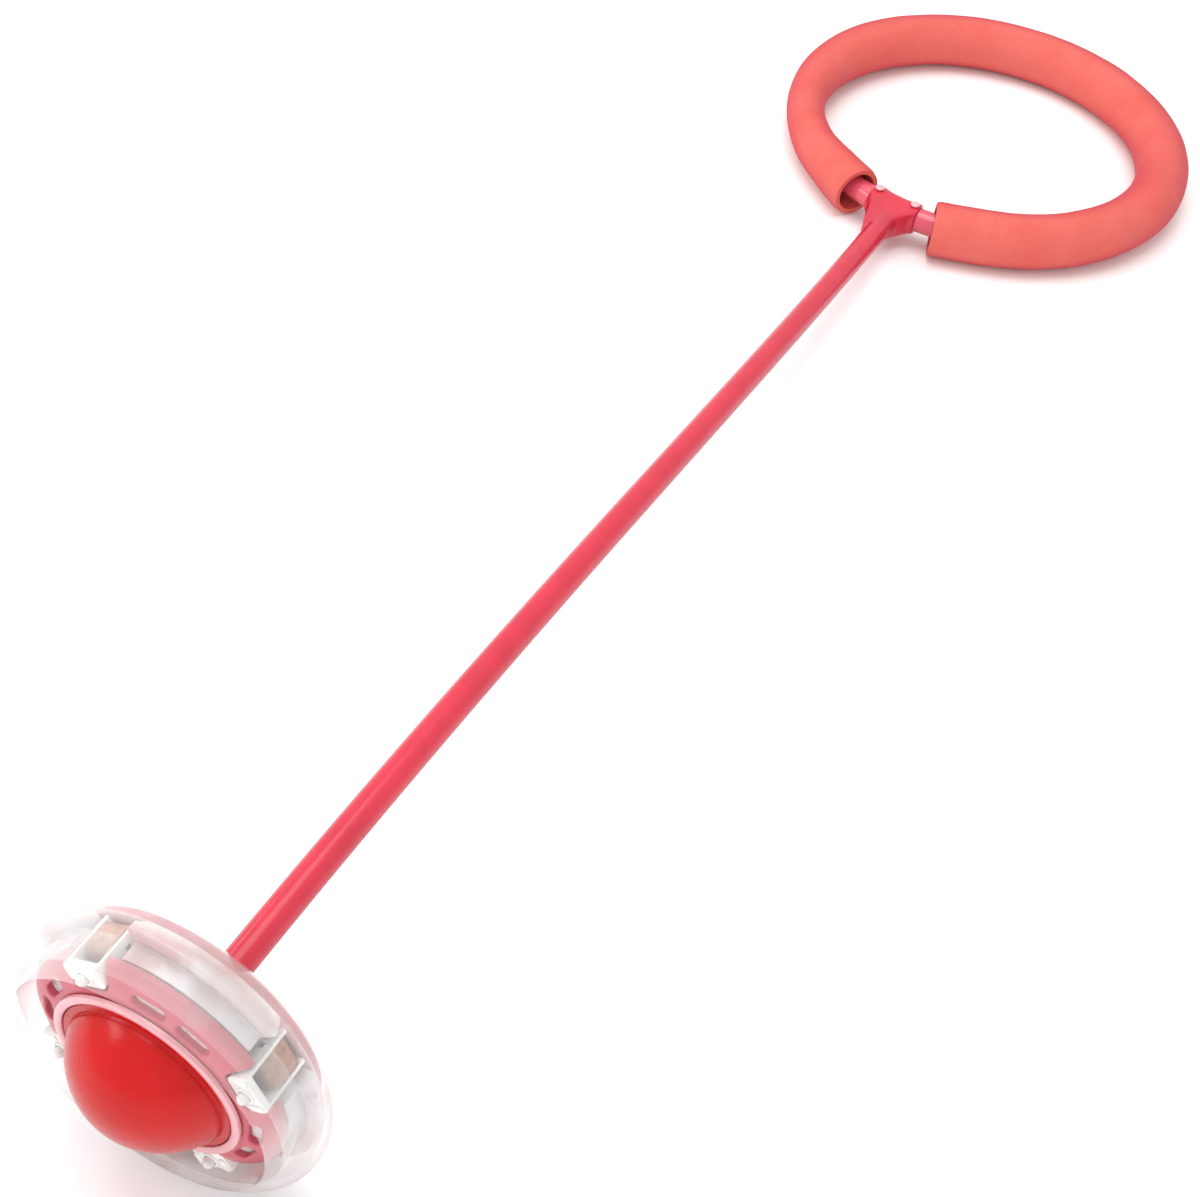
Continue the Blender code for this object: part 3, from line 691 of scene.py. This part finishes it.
def dome_outline(steps=40):
    height = DOME_EDGE - dome_tip
    sphere = (DOME_OUT**2 + height**2) / (2 * height)
    centre = dome_tip + sphere

    def cap(radius, edge_out, counted):
        reach = math.asin(edge_out / radius)
        turns = [reach * step / steps for step in counted]
        return [(centre - radius * math.cos(t), radius * math.sin(t)) for t in turns]

    lip = [(DOME_EDGE, DOME_OUT), (DOME_LIP, DOME_OUT + 0.2 * MM), (DOME_LIP, dome_lip_out)]
    lip += [(dome_base, dome_lip_out), (dome_base, DOME_OUT - DOME_WALL)]
    outer = cap(sphere, DOME_OUT, range(steps))
    inner = cap(sphere - DOME_WALL, DOME_OUT - DOME_WALL, range(steps, -1, -2))
    return outer + softened(lip, 0.25 * MM, 3) + inner


dome = shell("red_dome", turned(dome_outline(), 160), wheel_place, 40)
show(dome, dome_plastic, "wheel", ["dome_cap"])

# %% Turning the dome's ring and the rear flange
ring_top, ring_base, ring_bore, ring_out = span_on_axle("socket_ring")
half_ring = (ring_out - ring_bore) / 2
crown = []
for turn in spread(0, math.pi, 16):
    along = ring_top + half_ring / 2 * (1 - math.sin(turn))
    crown.append((along, ring_bore + half_ring * (1 - math.cos(turn))))
ring_shape = turned([(ring_base, ring_bore), *crown, (ring_base, ring_out)], 160)
show(shell("dome_ring", ring_shape, wheel_place), pale_plastic, "wheel", ["socket_ring"])

rear_front, rear_face, rear_bore, rear_out = span_on_axle("rear_flange")
GROOVE_DEPTH = 0.6 * MM
groove = [(rear_face, 25 * MM), (rear_face - GROOVE_DEPTH, 24 * MM)]
groove += [(rear_face - GROOVE_DEPTH, 20 * MM), (rear_face, 19 * MM)]
rear_rim = [(rear_front, rear_bore), (rear_front, rear_out), (rear_face, rear_out)]
rear_shape = turned(softened([*rear_rim, *groove, (rear_face, rear_bore)], 0.4 * MM), 160)
back_flange = shell("back_flange", rear_shape, wheel_place)
show(back_flange, flange_plastic, "wheel", ["rear_flange"])

# %% [markdown]
# ## The flashing modules
# Each module is a small white moulding in a notch: a front plate, two thin cheeks that run back through the
# wheel, and a bobbin between them. All four are alike, so one is modelled upright with a Bevel modifier and
# turned into each notch.

# %% One carrier, and its copies
carrier_front, carrier_rear, _, _ = span_on_axle("module_carrier_1")
CARRIER_HALF, CHEEK = 5.6 * MM, 1 * MM
PLATE_TOP, PLATE_BOTTOM, PLATE_THICK = 35.6 * MM, 28.9 * MM, 2 * MM
PLATE_CORNER = 2.2 * MM
COLLAR_BORE, COLLAR_OUT = 1.75 * MM, 2.35 * MM
BOBBIN_HALF = 1.8 * MM
SOFT_EDGE = 0.22 * MM
COIL_MIDDLE = Vector((3.1 * MM, 0, 32.4 * MM))


def prism(name, outline, x_span):
    """An outline of (y, z) points, drawn out along the axle."""
    shape = bmesh.new()
    rows = [[shape.verts.new((x, y, z)) for y, z in outline] for x in x_span]
    bar(shape, rows)
    return shell(name, shape)


def slab(name, x_span, y_span, z_span):
    (y_low, y_high), (z_low, z_high) = y_span, z_span
    return prism(name, [(y_low, z_low), (y_high, z_low), (y_high, z_high), (y_low, z_high)], x_span)


def plate_outline():
    reach, floor = CARRIER_HALF - PLATE_CORNER, PLATE_BOTTOM + PLATE_CORNER
    left = arc_points(-reach, floor, PLATE_CORNER, math.pi, 1.5 * math.pi, 6)
    right = arc_points(reach, floor, PLATE_CORNER, 1.5 * math.pi, 2 * math.pi, 6)
    return [*left, *right, (CARRIER_HALF, PLATE_TOP), (-CARRIER_HALF, PLATE_TOP)]


def lamp_collar():
    front, back = carrier_front - 0.6 * MM, carrier_front + 0.8 * MM
    collar = turned([(front, COLLAR_BORE), (front, COLLAR_OUT), (back, COLLAR_OUT), (back, COLLAR_BORE)], 32)
    bmesh.ops.translate(collar, verts=collar.verts, vec=(0, 0, COIL_MIDDLE.z))
    return shell("collar", collar)


def carrier_mesh():
    """A plate with a lamp collar, two cheeks, a bobbin and two snap ribs, with soft edges."""
    parts = [prism("plate", plate_outline(), (carrier_front, carrier_front + PLATE_THICK))]
    for side in (-1, 1):
        wall = sorted((side * CARRIER_HALF, side * (CARRIER_HALF - CHEEK)))
        height = (PLATE_BOTTOM + 1.7 * MM, PLATE_TOP - 0.1 * MM)
        parts.append(slab("cheek", (carrier_front + MM, carrier_rear), wall, height))
        ridge = sorted((side * (CARRIER_HALF - 0.4 * MM), side * (CARRIER_HALF - 2.1 * MM)))
        height = (PLATE_BOTTOM + 2.4 * MM, PLATE_TOP - 0.3 * MM)
        parts.append(slab("rib", (carrier_front - 0.5 * MM, carrier_front + 0.6 * MM), ridge, height))
    reach = CARRIER_HALF - CHEEK / 2
    across = (COIL_MIDDLE.x - BOBBIN_HALF, COIL_MIDDLE.x + BOBBIN_HALF)
    height = (COIL_MIDDLE.z - BOBBIN_HALF, COIL_MIDDLE.z + BOBBIN_HALF)
    parts.append(slab("bobbin", across, (-reach, reach), height))
    whole = cut_away(*parts, lamp_collar(), operation="UNION")
    bevel = whole.modifiers.new("soft edges", "BEVEL")
    bevel.width, bevel.segments, bevel.limit_method = SOFT_EDGE, 2, "ANGLE"
    bevel.angle_limit = math.radians(40)
    return cut_away(whole)


# %% The four carriers
def copies(pattern, name, finish, node):
    """A turned copy of one upright piece for each numbered solid."""
    for number, turn in enumerate(module_turns, 1):
        copy = bpy.data.objects.new(f"{name}_{number}", pattern.data.copy())
        bpy.context.scene.collection.objects.link(copy)
        copy.data.transform(wheel_place @ Matrix.Rotation(turn, 4, "X"))
        show(copy, finish, "wheel", [f"{node}_{number}"])
    bpy.data.objects.remove(pattern)


copies(carrier_mesh(), "white_carrier", carrier_plastic, "module_carrier")

# %% [markdown]
# ## The copper windings
# Each coil is enamelled wire wound on the bobbin between the cheeks. Wound by hand in a mesh it would be
# thousands of points; as Geometry Nodes it is one spiral, squared off to the bobbin's shape, with a wire
# swept along it and a drum underneath. Turns, thickness and size are inputs of the tree.

# %% A node tree that winds a coil
COIL_INPUTS = {
    "Turns": 21.0,
    "Half length": 5 * MM,
    "Half depth": 3.3 * MM,
    "Width": 8.4 * MM,
    "Wire": 0.21 * MM,
    "Seed": 7.0,
}


def winding_tree():
    tree = bpy.data.node_groups.new("winding", "GeometryNodeTree")
    for name in COIL_INPUTS:
        tree.interface.new_socket(name, in_out="INPUT", socket_type="NodeSocketFloat")
    tree.interface.new_socket("Geometry", in_out="OUTPUT", socket_type="NodeSocketGeometry")
    given = tree.nodes.new("NodeGroupInput").outputs
    result = tree.nodes.new("NodeGroupOutput").inputs

    def node(kind, settings=None, inputs=None):
        return wired(tree, kind, settings, inputs)

    def sum_of(operation, first, second=0.0):
        return node("ShaderNodeMath", {"operation": operation}, {0: first, 1: second}).outputs[0]

    def squared(part, reach):
        """A circle's coordinate, pushed out towards a rounded square's."""
        bulge = sum_of("POWER", sum_of("ABSOLUTE", part), 0.55)
        return sum_of("MULTIPLY", sum_of("MULTIPLY", sum_of("SIGN", part), bulge), reach)

    def onto_bobbin(geometry, shrink):
        place = node("ShaderNodeSeparateXYZ", None, {0: node("GeometryNodeInputPosition").outputs[0]}).outputs
        unrest = {"Scale": 2200.0, "W": given["Seed"]}
        slack = node("ShaderNodeTexNoise", {"noise_dimensions": "4D"}, unrest).outputs["Fac"]
        loose = sum_of("MULTIPLY", sum_of("SUBTRACT", slack, 0.5), sum_of("MULTIPLY", given["Wire"], 0.9))
        long = sum_of("ADD", sum_of("SUBTRACT", given["Half length"], shrink), loose)
        deep = sum_of("ADD", sum_of("SUBTRACT", given["Half depth"], shrink), loose)
        middle = sum_of("SUBTRACT", place[2], sum_of("MULTIPLY", given["Width"], 0.5))
        shift = {0: squared(place[0], long), 1: squared(place[1], deep), 2: middle}
        moved = node("ShaderNodeCombineXYZ", None, shift).outputs[0]
        return node("GeometryNodeSetPosition", None, {"Geometry": geometry, "Position": moved}).outputs[0]

    radii = {"Start Radius": 1.0, "End Radius": 1.0}
    winds = {"Resolution": 40, "Rotations": given["Turns"], "Height": given["Width"]}
    spiral = node("GeometryNodeCurveSpiral", None, {**radii, **winds}).outputs[0]
    section = {"Resolution": 7, "Radius": given["Wire"]}
    wire_round = node("GeometryNodeCurvePrimitiveCircle", None, section).outputs[0]
    sweep = {"Curve": onto_bobbin(spiral, given["Wire"]), "Profile Curve": wire_round, "Fill Caps": True}
    wire = node("GeometryNodeCurveToMesh", None, sweep).outputs[0]
    drum_size = {"Vertices": 56, "Side Segments": 1, "Radius": 1.0, "Depth": given["Width"]}
    drum = node("GeometryNodeMeshCylinder", None, drum_size).outputs["Mesh"]
    lift = node("ShaderNodeCombineXYZ", None, {2: sum_of("MULTIPLY", given["Width"], 0.5)}).outputs[0]
    raised = node("GeometryNodeTransform", None, {"Geometry": drum, "Translation": lift}).outputs[0]
    core = onto_bobbin(raised, sum_of("MULTIPLY", given["Wire"], 1.6))
    joined = node("GeometryNodeJoinGeometry")
    for part in (wire, core):
        tree.links.new(part, joined.inputs[0])
    smooth = node("GeometryNodeSetShadeSmooth", None, {"Geometry": joined.outputs[0]}).outputs[0]
    real = node("GeometryNodeRealizeInstances", None, {"Geometry": smooth}).outputs[0]
    finished = node("GeometryNodeSetMaterial", None, {"Geometry": real, "Material": copper}).outputs[0]
    tree.links.new(finished, result["Geometry"])
    return tree


# %% Winding one coil, and its copies
def grown(name, tree, values):
    """The plain mesh that a node tree makes from these inputs."""
    host = bpy.data.objects.new(name, bpy.data.meshes.new(name))
    bpy.context.scene.collection.objects.link(host)
    modifier = host.modifiers.new(name, "NODES")
    modifier.node_group = tree
    for item in tree.interface.items_tree:
        if item.in_out == "INPUT" and item.name in values:
            modifier[item.identifier] = values[item.name]
    bake(host)
    return host


coil = grown("coil", winding_tree(), COIL_INPUTS)
# The tree winds about Z, with its long side along X: Z becomes the tangent, X stays along the axle
coil.data.transform(Matrix.Translation(COIL_MIDDLE) @ Matrix.Rotation(math.pi / 2, 4, "X"))
copies(coil, "winding", copper, "copper_coil")

# %% [markdown]
# ## Lamps and screws
# A lamp is a small bead with a round nose and a base flange. A screw holds the rear flange, with a low head
# and a cross recess, which is cut before the copies are made.

# %% Lamps
lamp_tip, lamp_base, _, _ = span_on_axle("lamp_1")
LAMP_OUT = 1.6 * MM
bead_base = [(lamp_base - 0.5 * MM, LAMP_OUT), (lamp_base, LAMP_OUT - 0.1 * MM), (lamp_base, 0.0)]
bead = turned([*rounded_end(lamp_tip, LAMP_OUT, LAMP_OUT, 14), *bead_base], 40)
bmesh.ops.translate(bead, verts=bead.verts, vec=(0, 0, COIL_MIDDLE.z))
copies(shell("bead", bead), "lamp_bead", lamp_plastic, "lamp")

# %% Screws with a cross recess
screw_tip, screw_top, _, screw_reach = span_on_axle("flange_screw_1")
SCREW_HEAD, SCREW_SHANK = 2.4 * MM, 1.25 * MM
SCREW_CIRCLE = screw_reach - SCREW_HEAD
HEAD_CROWN = 1.4 * MM
RECESS_DEPTH, RECESS_WIDTH, RECESS_REACH = 0.9 * MM, 0.28 * MM, 1.2 * MM
head_seat = rear_face + 0.3 * MM
point = [(screw_tip, 0.0), (screw_tip + 1.2 * MM, SCREW_SHANK * 0.75), (screw_tip + 1.6 * MM, SCREW_SHANK)]
head = [(head_seat, SCREW_HEAD), (head_seat + 0.5 * MM, SCREW_HEAD), (screw_top, HEAD_CROWN)]
screw_outline = [*point, (head_seat, SCREW_SHANK), *softened(head, 0.5 * MM), (screw_top, 0.0)]
depth, width = (screw_top - RECESS_DEPTH, screw_top + MM), (-RECESS_WIDTH, RECESS_WIDTH)
recess = [slab("blade", depth, width, (-RECESS_REACH, RECESS_REACH)) for _ in range(2)]
recess[1].data.transform(Matrix.Rotation(math.pi / 2, 4, "X"))
screw = cut_away(shell("screw", turned(screw_outline, 48)), *recess)
screw.data.transform(Matrix.Translation((0, 0, SCREW_CIRCLE)))
copies(screw, "rear_screw", steel, "flange_screw")

# %% [markdown]
# ## The rod and fork
# One moulding: a long round rod that opens into a Y. The two arms follow the ring and the inside of the Y
# is hollowed towards the rod. A sweep makes the rod. The fork is built from overlapping bars and a web,
# remeshed to one skin and smoothed, which gives it the rounded crotches of a moulding, and then joined to
# the rod.

# %% The ring's measures and the rod's path
_, hoop_high = box_of("hoop_tube")
foam_low, foam_high = box_of("foam_sleeve")
FOAM_OUT = (foam_high.z - foam_low.z) / 2
RING_RADIUS = foam_high.y - FOAM_OUT
HOOP_OUT = hoop_high.y - RING_RADIUS
ring_middle = Vector((foam_high.x - FOAM_OUT - RING_RADIUS, 0, (foam_low.z + foam_high.z) / 2))
ROD_OUT = 4.5 * MM
ROD_START = 12.8 * MM
ARM_OUT, ARM_END_OUT, ARM_TURN = 5.6 * MM, 6.3 * MM, math.radians(8)
FORK_DROP, FORK_SIDEWAYS = math.radians(5), math.radians(2.2)
rivet_low, rivet_high = box_of("hoop_rivet_left")
other_low, other_high = box_of("hoop_rivet_right")
between_rivets = (rivet_low + rivet_high + other_low + other_high) / 4 - ring_middle
FORK_TURN = math.atan2(between_rivets.y, -between_rivets.x)
print("Fork turned", round(math.degrees(FORK_TURN), 2), "degrees")
for part, radius in (("Ring", RING_RADIUS), ("Foam", FOAM_OUT), ("Tube", HOOP_OUT)):
    print(part, "radius", round(radius / MM, 2))


def on_ring(turn, radius=RING_RADIUS):
    """A point by its turn from the fork towards +Y."""
    whole = FORK_TURN + turn
    return ring_middle + Vector((-radius * math.cos(whole), radius * math.sin(whole), 0))


def rod_line(steps=260):
    """A cubic that leaves along the axle and arrives at the ring along the fork."""
    start = wheel_place @ Vector((ROD_START, 0, 0))
    end = on_ring(0)
    span = (end - start).length
    level = math.cos(FORK_DROP)
    heading = Vector((level * math.cos(FORK_SIDEWAYS), level * math.sin(FORK_SIDEWAYS), -math.sin(FORK_DROP)))
    leave, arrive = axle_line * span, heading * span
    points = []
    for u in spread(0, 1, steps):
        from_start = (2 * u**3 - 3 * u**2 + 1) * start + (u**3 - 2 * u**2 + u) * leave
        points.append(from_start + (3 * u**2 - 2 * u**3) * end + (u**3 - u**2) * arrive)
    return points


# %% The fork's bars and web, and one skin over them
FORK_LENGTH = 40 * MM
WEB_REACH, WEB_LOW, WEB_HIGH = 15 * MM, -5 * MM, 5.5 * MM
WEB_PULL_OUT, WEB_PULL_SIDE = 10.5 * MM, 6.4 * MM
ROD_SHRINKS, ARM_SHRINKS = 0.12 * MM, 0.15 * MM  # what the smoothing takes off each
ARM_STEPS = 24
VOXEL = 0.42 * MM
fork_stand = Matrix.Translation(ring_middle) @ Matrix.Rotation(-FORK_TURN, 4, "Z")


def web_outline(steps=16):
    """In the fork's own directions: from the ring's middle, with the fork at minus X."""
    arm_turn, arm_reach = ARM_TURN * 0.95, RING_RADIUS + ARM_OUT * 0.8
    near = Vector((-RING_RADIUS - ARM_OUT - WEB_REACH, ROD_OUT * 0.8))
    pull = Vector((-RING_RADIUS - WEB_PULL_OUT, WEB_PULL_SIDE))
    far = Vector((-arm_reach * math.cos(arm_turn), arm_reach * math.sin(arm_turn)))
    curve = drawn_curve(near, pull, far, steps)
    inner = (-RING_RADIUS * math.cos(arm_turn), RING_RADIUS * math.sin(arm_turn))
    middle = (ARM_OUT * 0.5 - RING_RADIUS, 0.0)
    return [*curve, inner, middle, (inner[0], -inner[1]), *[(x, -y) for x, y in reversed(curve)]]


def fork_skin():
    stub = [point for point in rod_line() if (on_ring(0) - point).length < FORK_LENGTH]
    shape = swept(stub, [ROD_OUT + ROD_SHRINKS] * len(stub))
    shares = [2 * step / ARM_STEPS - 1 for step in range(ARM_STEPS + 1)]
    arms = [on_ring(ARM_TURN * share) for share in shares]
    flare = [ARM_OUT + (ARM_END_OUT - ARM_OUT) * share**2 for share in shares]
    swept(arms, [radius + ARM_SHRINKS for radius in flare], shape=shape)
    rows = []
    for z in (WEB_LOW, WEB_HIGH):
        rows.append([shape.verts.new(fork_stand @ Vector((x, y, z))) for x, y in web_outline()])
    bar(shape, rows)
    skin = shell("fork_skin", shape)
    remesh = skin.modifiers.new("one skin", "REMESH")
    remesh.mode, remesh.voxel_size = "VOXEL", VOXEL
    soften = skin.modifiers.new("rounded crotches", "SMOOTH")
    soften.factor, soften.iterations = 0.5, 56
    return cut_away(skin, sharp=60)


fork = fork_skin()
print("Fork skin", len(fork.data.polygons), "faces")

# %% Joining the fork and the rod
OVERLAP, SEAM_RIDGE = 6 * MM, 0.07 * MM
rod_path = [point for point in rod_line() if (on_ring(0) - point).length > FORK_LENGTH - OVERLAP]
start_chamfer = [ROD_OUT - 0.5 * MM, ROD_OUT - 0.15 * MM]
rod_radii = start_chamfer + [ROD_OUT] * (len(rod_path) - 2)
rod = shell("rod", swept(rod_path, rod_radii, 64, ridge=SEAM_RIDGE))
fork_piece = cut_away(rod, fork, operation="UNION", sharp=50)
fork_piece.name = "rod_and_fork"
show(fork_piece, rod_plastic, "frame", ["rod_fork"])

# %% [markdown]
# ## The ring: tube, foam and rivets
# A plastic tube bent to a ring ends inside the fork's arms, and a rivet through each arm holds it. The foam
# sleeve over it is cut square at both ends. It was bent round after it was made, so it is drawn thinner
# along one side and runs a little straighter near its ends. Its bore opens out where the tube goes in. The
# rivets are small snapped-in plugs.

# %% The tube
HOOP_TURN = math.radians(3.2)
HOOP_BORE = 3 * MM
RING_STEPS = 240
hoop_path = [on_ring(turn) for turn in spread(HOOP_TURN, 2 * math.pi - HOOP_TURN, RING_STEPS)]
radii, bores = ([radius] * len(hoop_path) for radius in (HOOP_OUT, HOOP_BORE))
hoop_shape = swept(hoop_path, radii, 40, bores=bores)
show(shell("ring_tube", hoop_shape), hoop_plastic, "frame", ["hoop_tube"])

# %% The foam sleeve
FOAM_START, FOAM_END = math.radians(13), 2 * math.pi - math.radians(13)
FOAM_BORE, THINNEST = 6.9 * MM, 2.2 * MM
PINCH_AT, PINCH_SPREAD, PINCH = math.radians(56), math.radians(32), 0.26
OPEN_LENGTH, OPENING = 7 * MM, 1.3 * MM
END_ROUND = 0.5 * MM
STRAIGHT, STRAIGHTENED = 21 * MM, 0.8
LUMPS = ((16 * MM, 0.25 * MM), (5 * MM, 0.06 * MM))  # each one's size and height


def foam_sleeve():
    path, radii, bores = [], [], []
    for turn in spread(FOAM_START, FOAM_END, RING_STEPS):
        from_end = min(turn - FOAM_START, FOAM_END - turn) * RING_RADIUS
        rounding = END_ROUND * max(0.0, 1 - from_end / END_ROUND) ** 2
        squeeze = PINCH * math.exp(-(((turn - PINCH_AT) / PINCH_SPREAD) ** 2))
        out = FOAM_OUT * (1 - squeeze)
        opening = OPENING * math.exp(-from_end / OPEN_LENGTH)
        straightening = STRAIGHTENED * max(0.0, STRAIGHT - from_end) ** 2 / (2 * RING_RADIUS)
        path.append(on_ring(turn, RING_RADIUS + straightening))
        radii.append(out - rounding)
        bores.append(min(FOAM_BORE, out - THINNEST) + opening)
    shape = swept(path, radii, 56, bores=bores)
    for vertex in shape.verts:
        lump = sum(noise.noise(vertex.co / size) * height for size, height in LUMPS)
        away = vertex.co - ring_middle
        away.z = 0
        spine = ring_middle + away.normalized() * RING_RADIUS
        vertex.co += (vertex.co - spine).normalized() * lump
    return shell("foam_cover", shape)


foam_piece = show(foam_sleeve(), foam, "frame", ["foam_sleeve"])

# %% The rivets
RIVET_THICK, RIVET_SHANK = 0.7 * MM, 1.1 * MM
for side in ("left", "right"):
    low, high = box_of(f"hoop_rivet_{side}")
    crown = rounded_end(-high.z, RIVET_THICK, (high.x - low.x) / 2, 8)
    seat = -high.z + RIVET_THICK + 0.1 * MM
    outline = [*crown, (seat, RIVET_SHANK), (-low.z, RIVET_SHANK), (-low.z, 0.0)]
    middle = Vector(((low.x + high.x) / 2, (low.y + high.y) / 2, 0))
    stand = Matrix.Translation(middle) @ Matrix.Rotation(math.pi / 2, 4, "Y")
    # The rivets take the pale finish, whose paleness is partly a painted highlight on their heads
    rivet = shell(f"ring_rivet_{side}", turned(outline, 40), stand)
    show(rivet, pale_plastic, "frame", [f"hoop_rivet_{side}"])

# %% [markdown]
# ## What stays as it is
# The axle, its nut and washers, the bearings, the magnet, the barrel and the coil cores are hidden in the
# wheel or simple enough as they are. They keep their solids and only get a finish.

# %% Finishes for the solids that stay
KEPT = {
    **dict.fromkeys(("axle", "lock_nut", "washer_front", "washer_rear"), steel),
    "magnet_ring": magnet,
    **dict.fromkeys(("bush_front", "bush_rear"), bearing_plastic),
    "hub_barrel": flange_plastic,
    **{f"coil_core_{number}": steel for number in range(1, 5)},
}
for node, finish in KEPT.items():
    solid = frame["nodes"][node]
    solid.data.materials.clear()
    solid.data.materials.append(finish)
print("Kept solids:", ", ".join(KEPT))

# %% [markdown]
# ## Studio
# The toy lies on a wide, pale floor. A large soft light hangs over it, a second one stands at the side to
# draw long streaks along the rod, and a pale world fills in the rest, so shadows stay faint.

# %% Floor
floor_shape = bmesh.new()
bmesh.ops.create_grid(floor_shape, x_segments=8, y_segments=8, size=4.0)
floor = shell("floor", floor_shape)
paper = Finish("paper", Roughness=0.9, Specular_IOR_Level=0.1)
unevenness = paper.between(paper.clouds(0.4, 2.0), 0.4, 0.7)
paper.colour(paper.mixed(unevenness, (0.93, 0.93, 0.93), (0.92, 0.92, 0.922)))
floor.data.materials.append(paper.material)
print("Floor laid")

# %% Lights and world
def soft_light(name, place, target, size, power, mirrored=True):
    light = bpy.data.lights.new(name, "AREA")
    light.shape, light.size, light.size_y = "RECTANGLE", size[0], size[1]
    light.energy = power
    lamp = bpy.data.objects.new(name, light)
    lamp.location = place
    lamp.visible_glossy = mirrored
    lamp.rotation_mode = "QUATERNION"
    lamp.rotation_quaternion = (Vector(target) - Vector(place)).to_track_quat("-Z", "Y")
    bpy.context.scene.collection.objects.link(lamp)


soft_light("overhead", (0.1, 0.2, 1.5), (0, 0, 0), (1.2, 1.0), 12)
soft_light("side strip", (-0.3, 0.9, 0.7), (0, 0, 0), (1.4, 0.25), 5)
soft_light("front fill", (-1.3, -0.5, 0.6), (-0.3, 0, 0.04), (0.5, 0.5), 3, mirrored=False)
world = bpy.data.worlds.new("studio")
world.use_nodes = True
world.node_tree.nodes["Background"].inputs["Color"].default_value = (1, 1, 1, 1)
world.node_tree.nodes["Background"].inputs["Strength"].default_value = 0.85
bpy.context.scene.world = world
bpy.context.scene.view_settings.view_transform = "Standard"
print("Three soft lights and a pale world")

# %% [markdown]
# ## Camera
# The camera stands over the wheel's end, about half a metre up, and looks along the rod and down at the
# floor. It is tipped a little to one side. Its place, heading, drop and tip are all that is needed.

# %% Camera
CAMERA_PLACE = Vector((-0.52655, -0.1823, 0.4839))
HEADING, DROP, TIP = math.radians(22.73), math.radians(44.92), math.radians(8.72)
LENS, SENSOR = 62.57, 36.0
ahead = Vector((math.cos(HEADING) * math.cos(DROP), math.sin(HEADING) * math.cos(DROP), -math.sin(DROP)))
camera = bpy.data.objects.new("camera", bpy.data.cameras.new("camera"))
camera.data.lens, camera.data.sensor_width = LENS, SENSOR
camera.data.clip_start, camera.data.clip_end = 0.01, 20
aim = ahead.to_track_quat("-Z", "Y").to_matrix().to_4x4()
camera.matrix_world = Matrix.Translation(CAMERA_PLACE) @ aim @ Matrix.Rotation(TIP, 4, "Z")
bpy.context.scene.collection.objects.link(camera)
bpy.context.scene.camera = camera
print("Camera", round(CAMERA_PLACE.z, 2), "m above the floor")
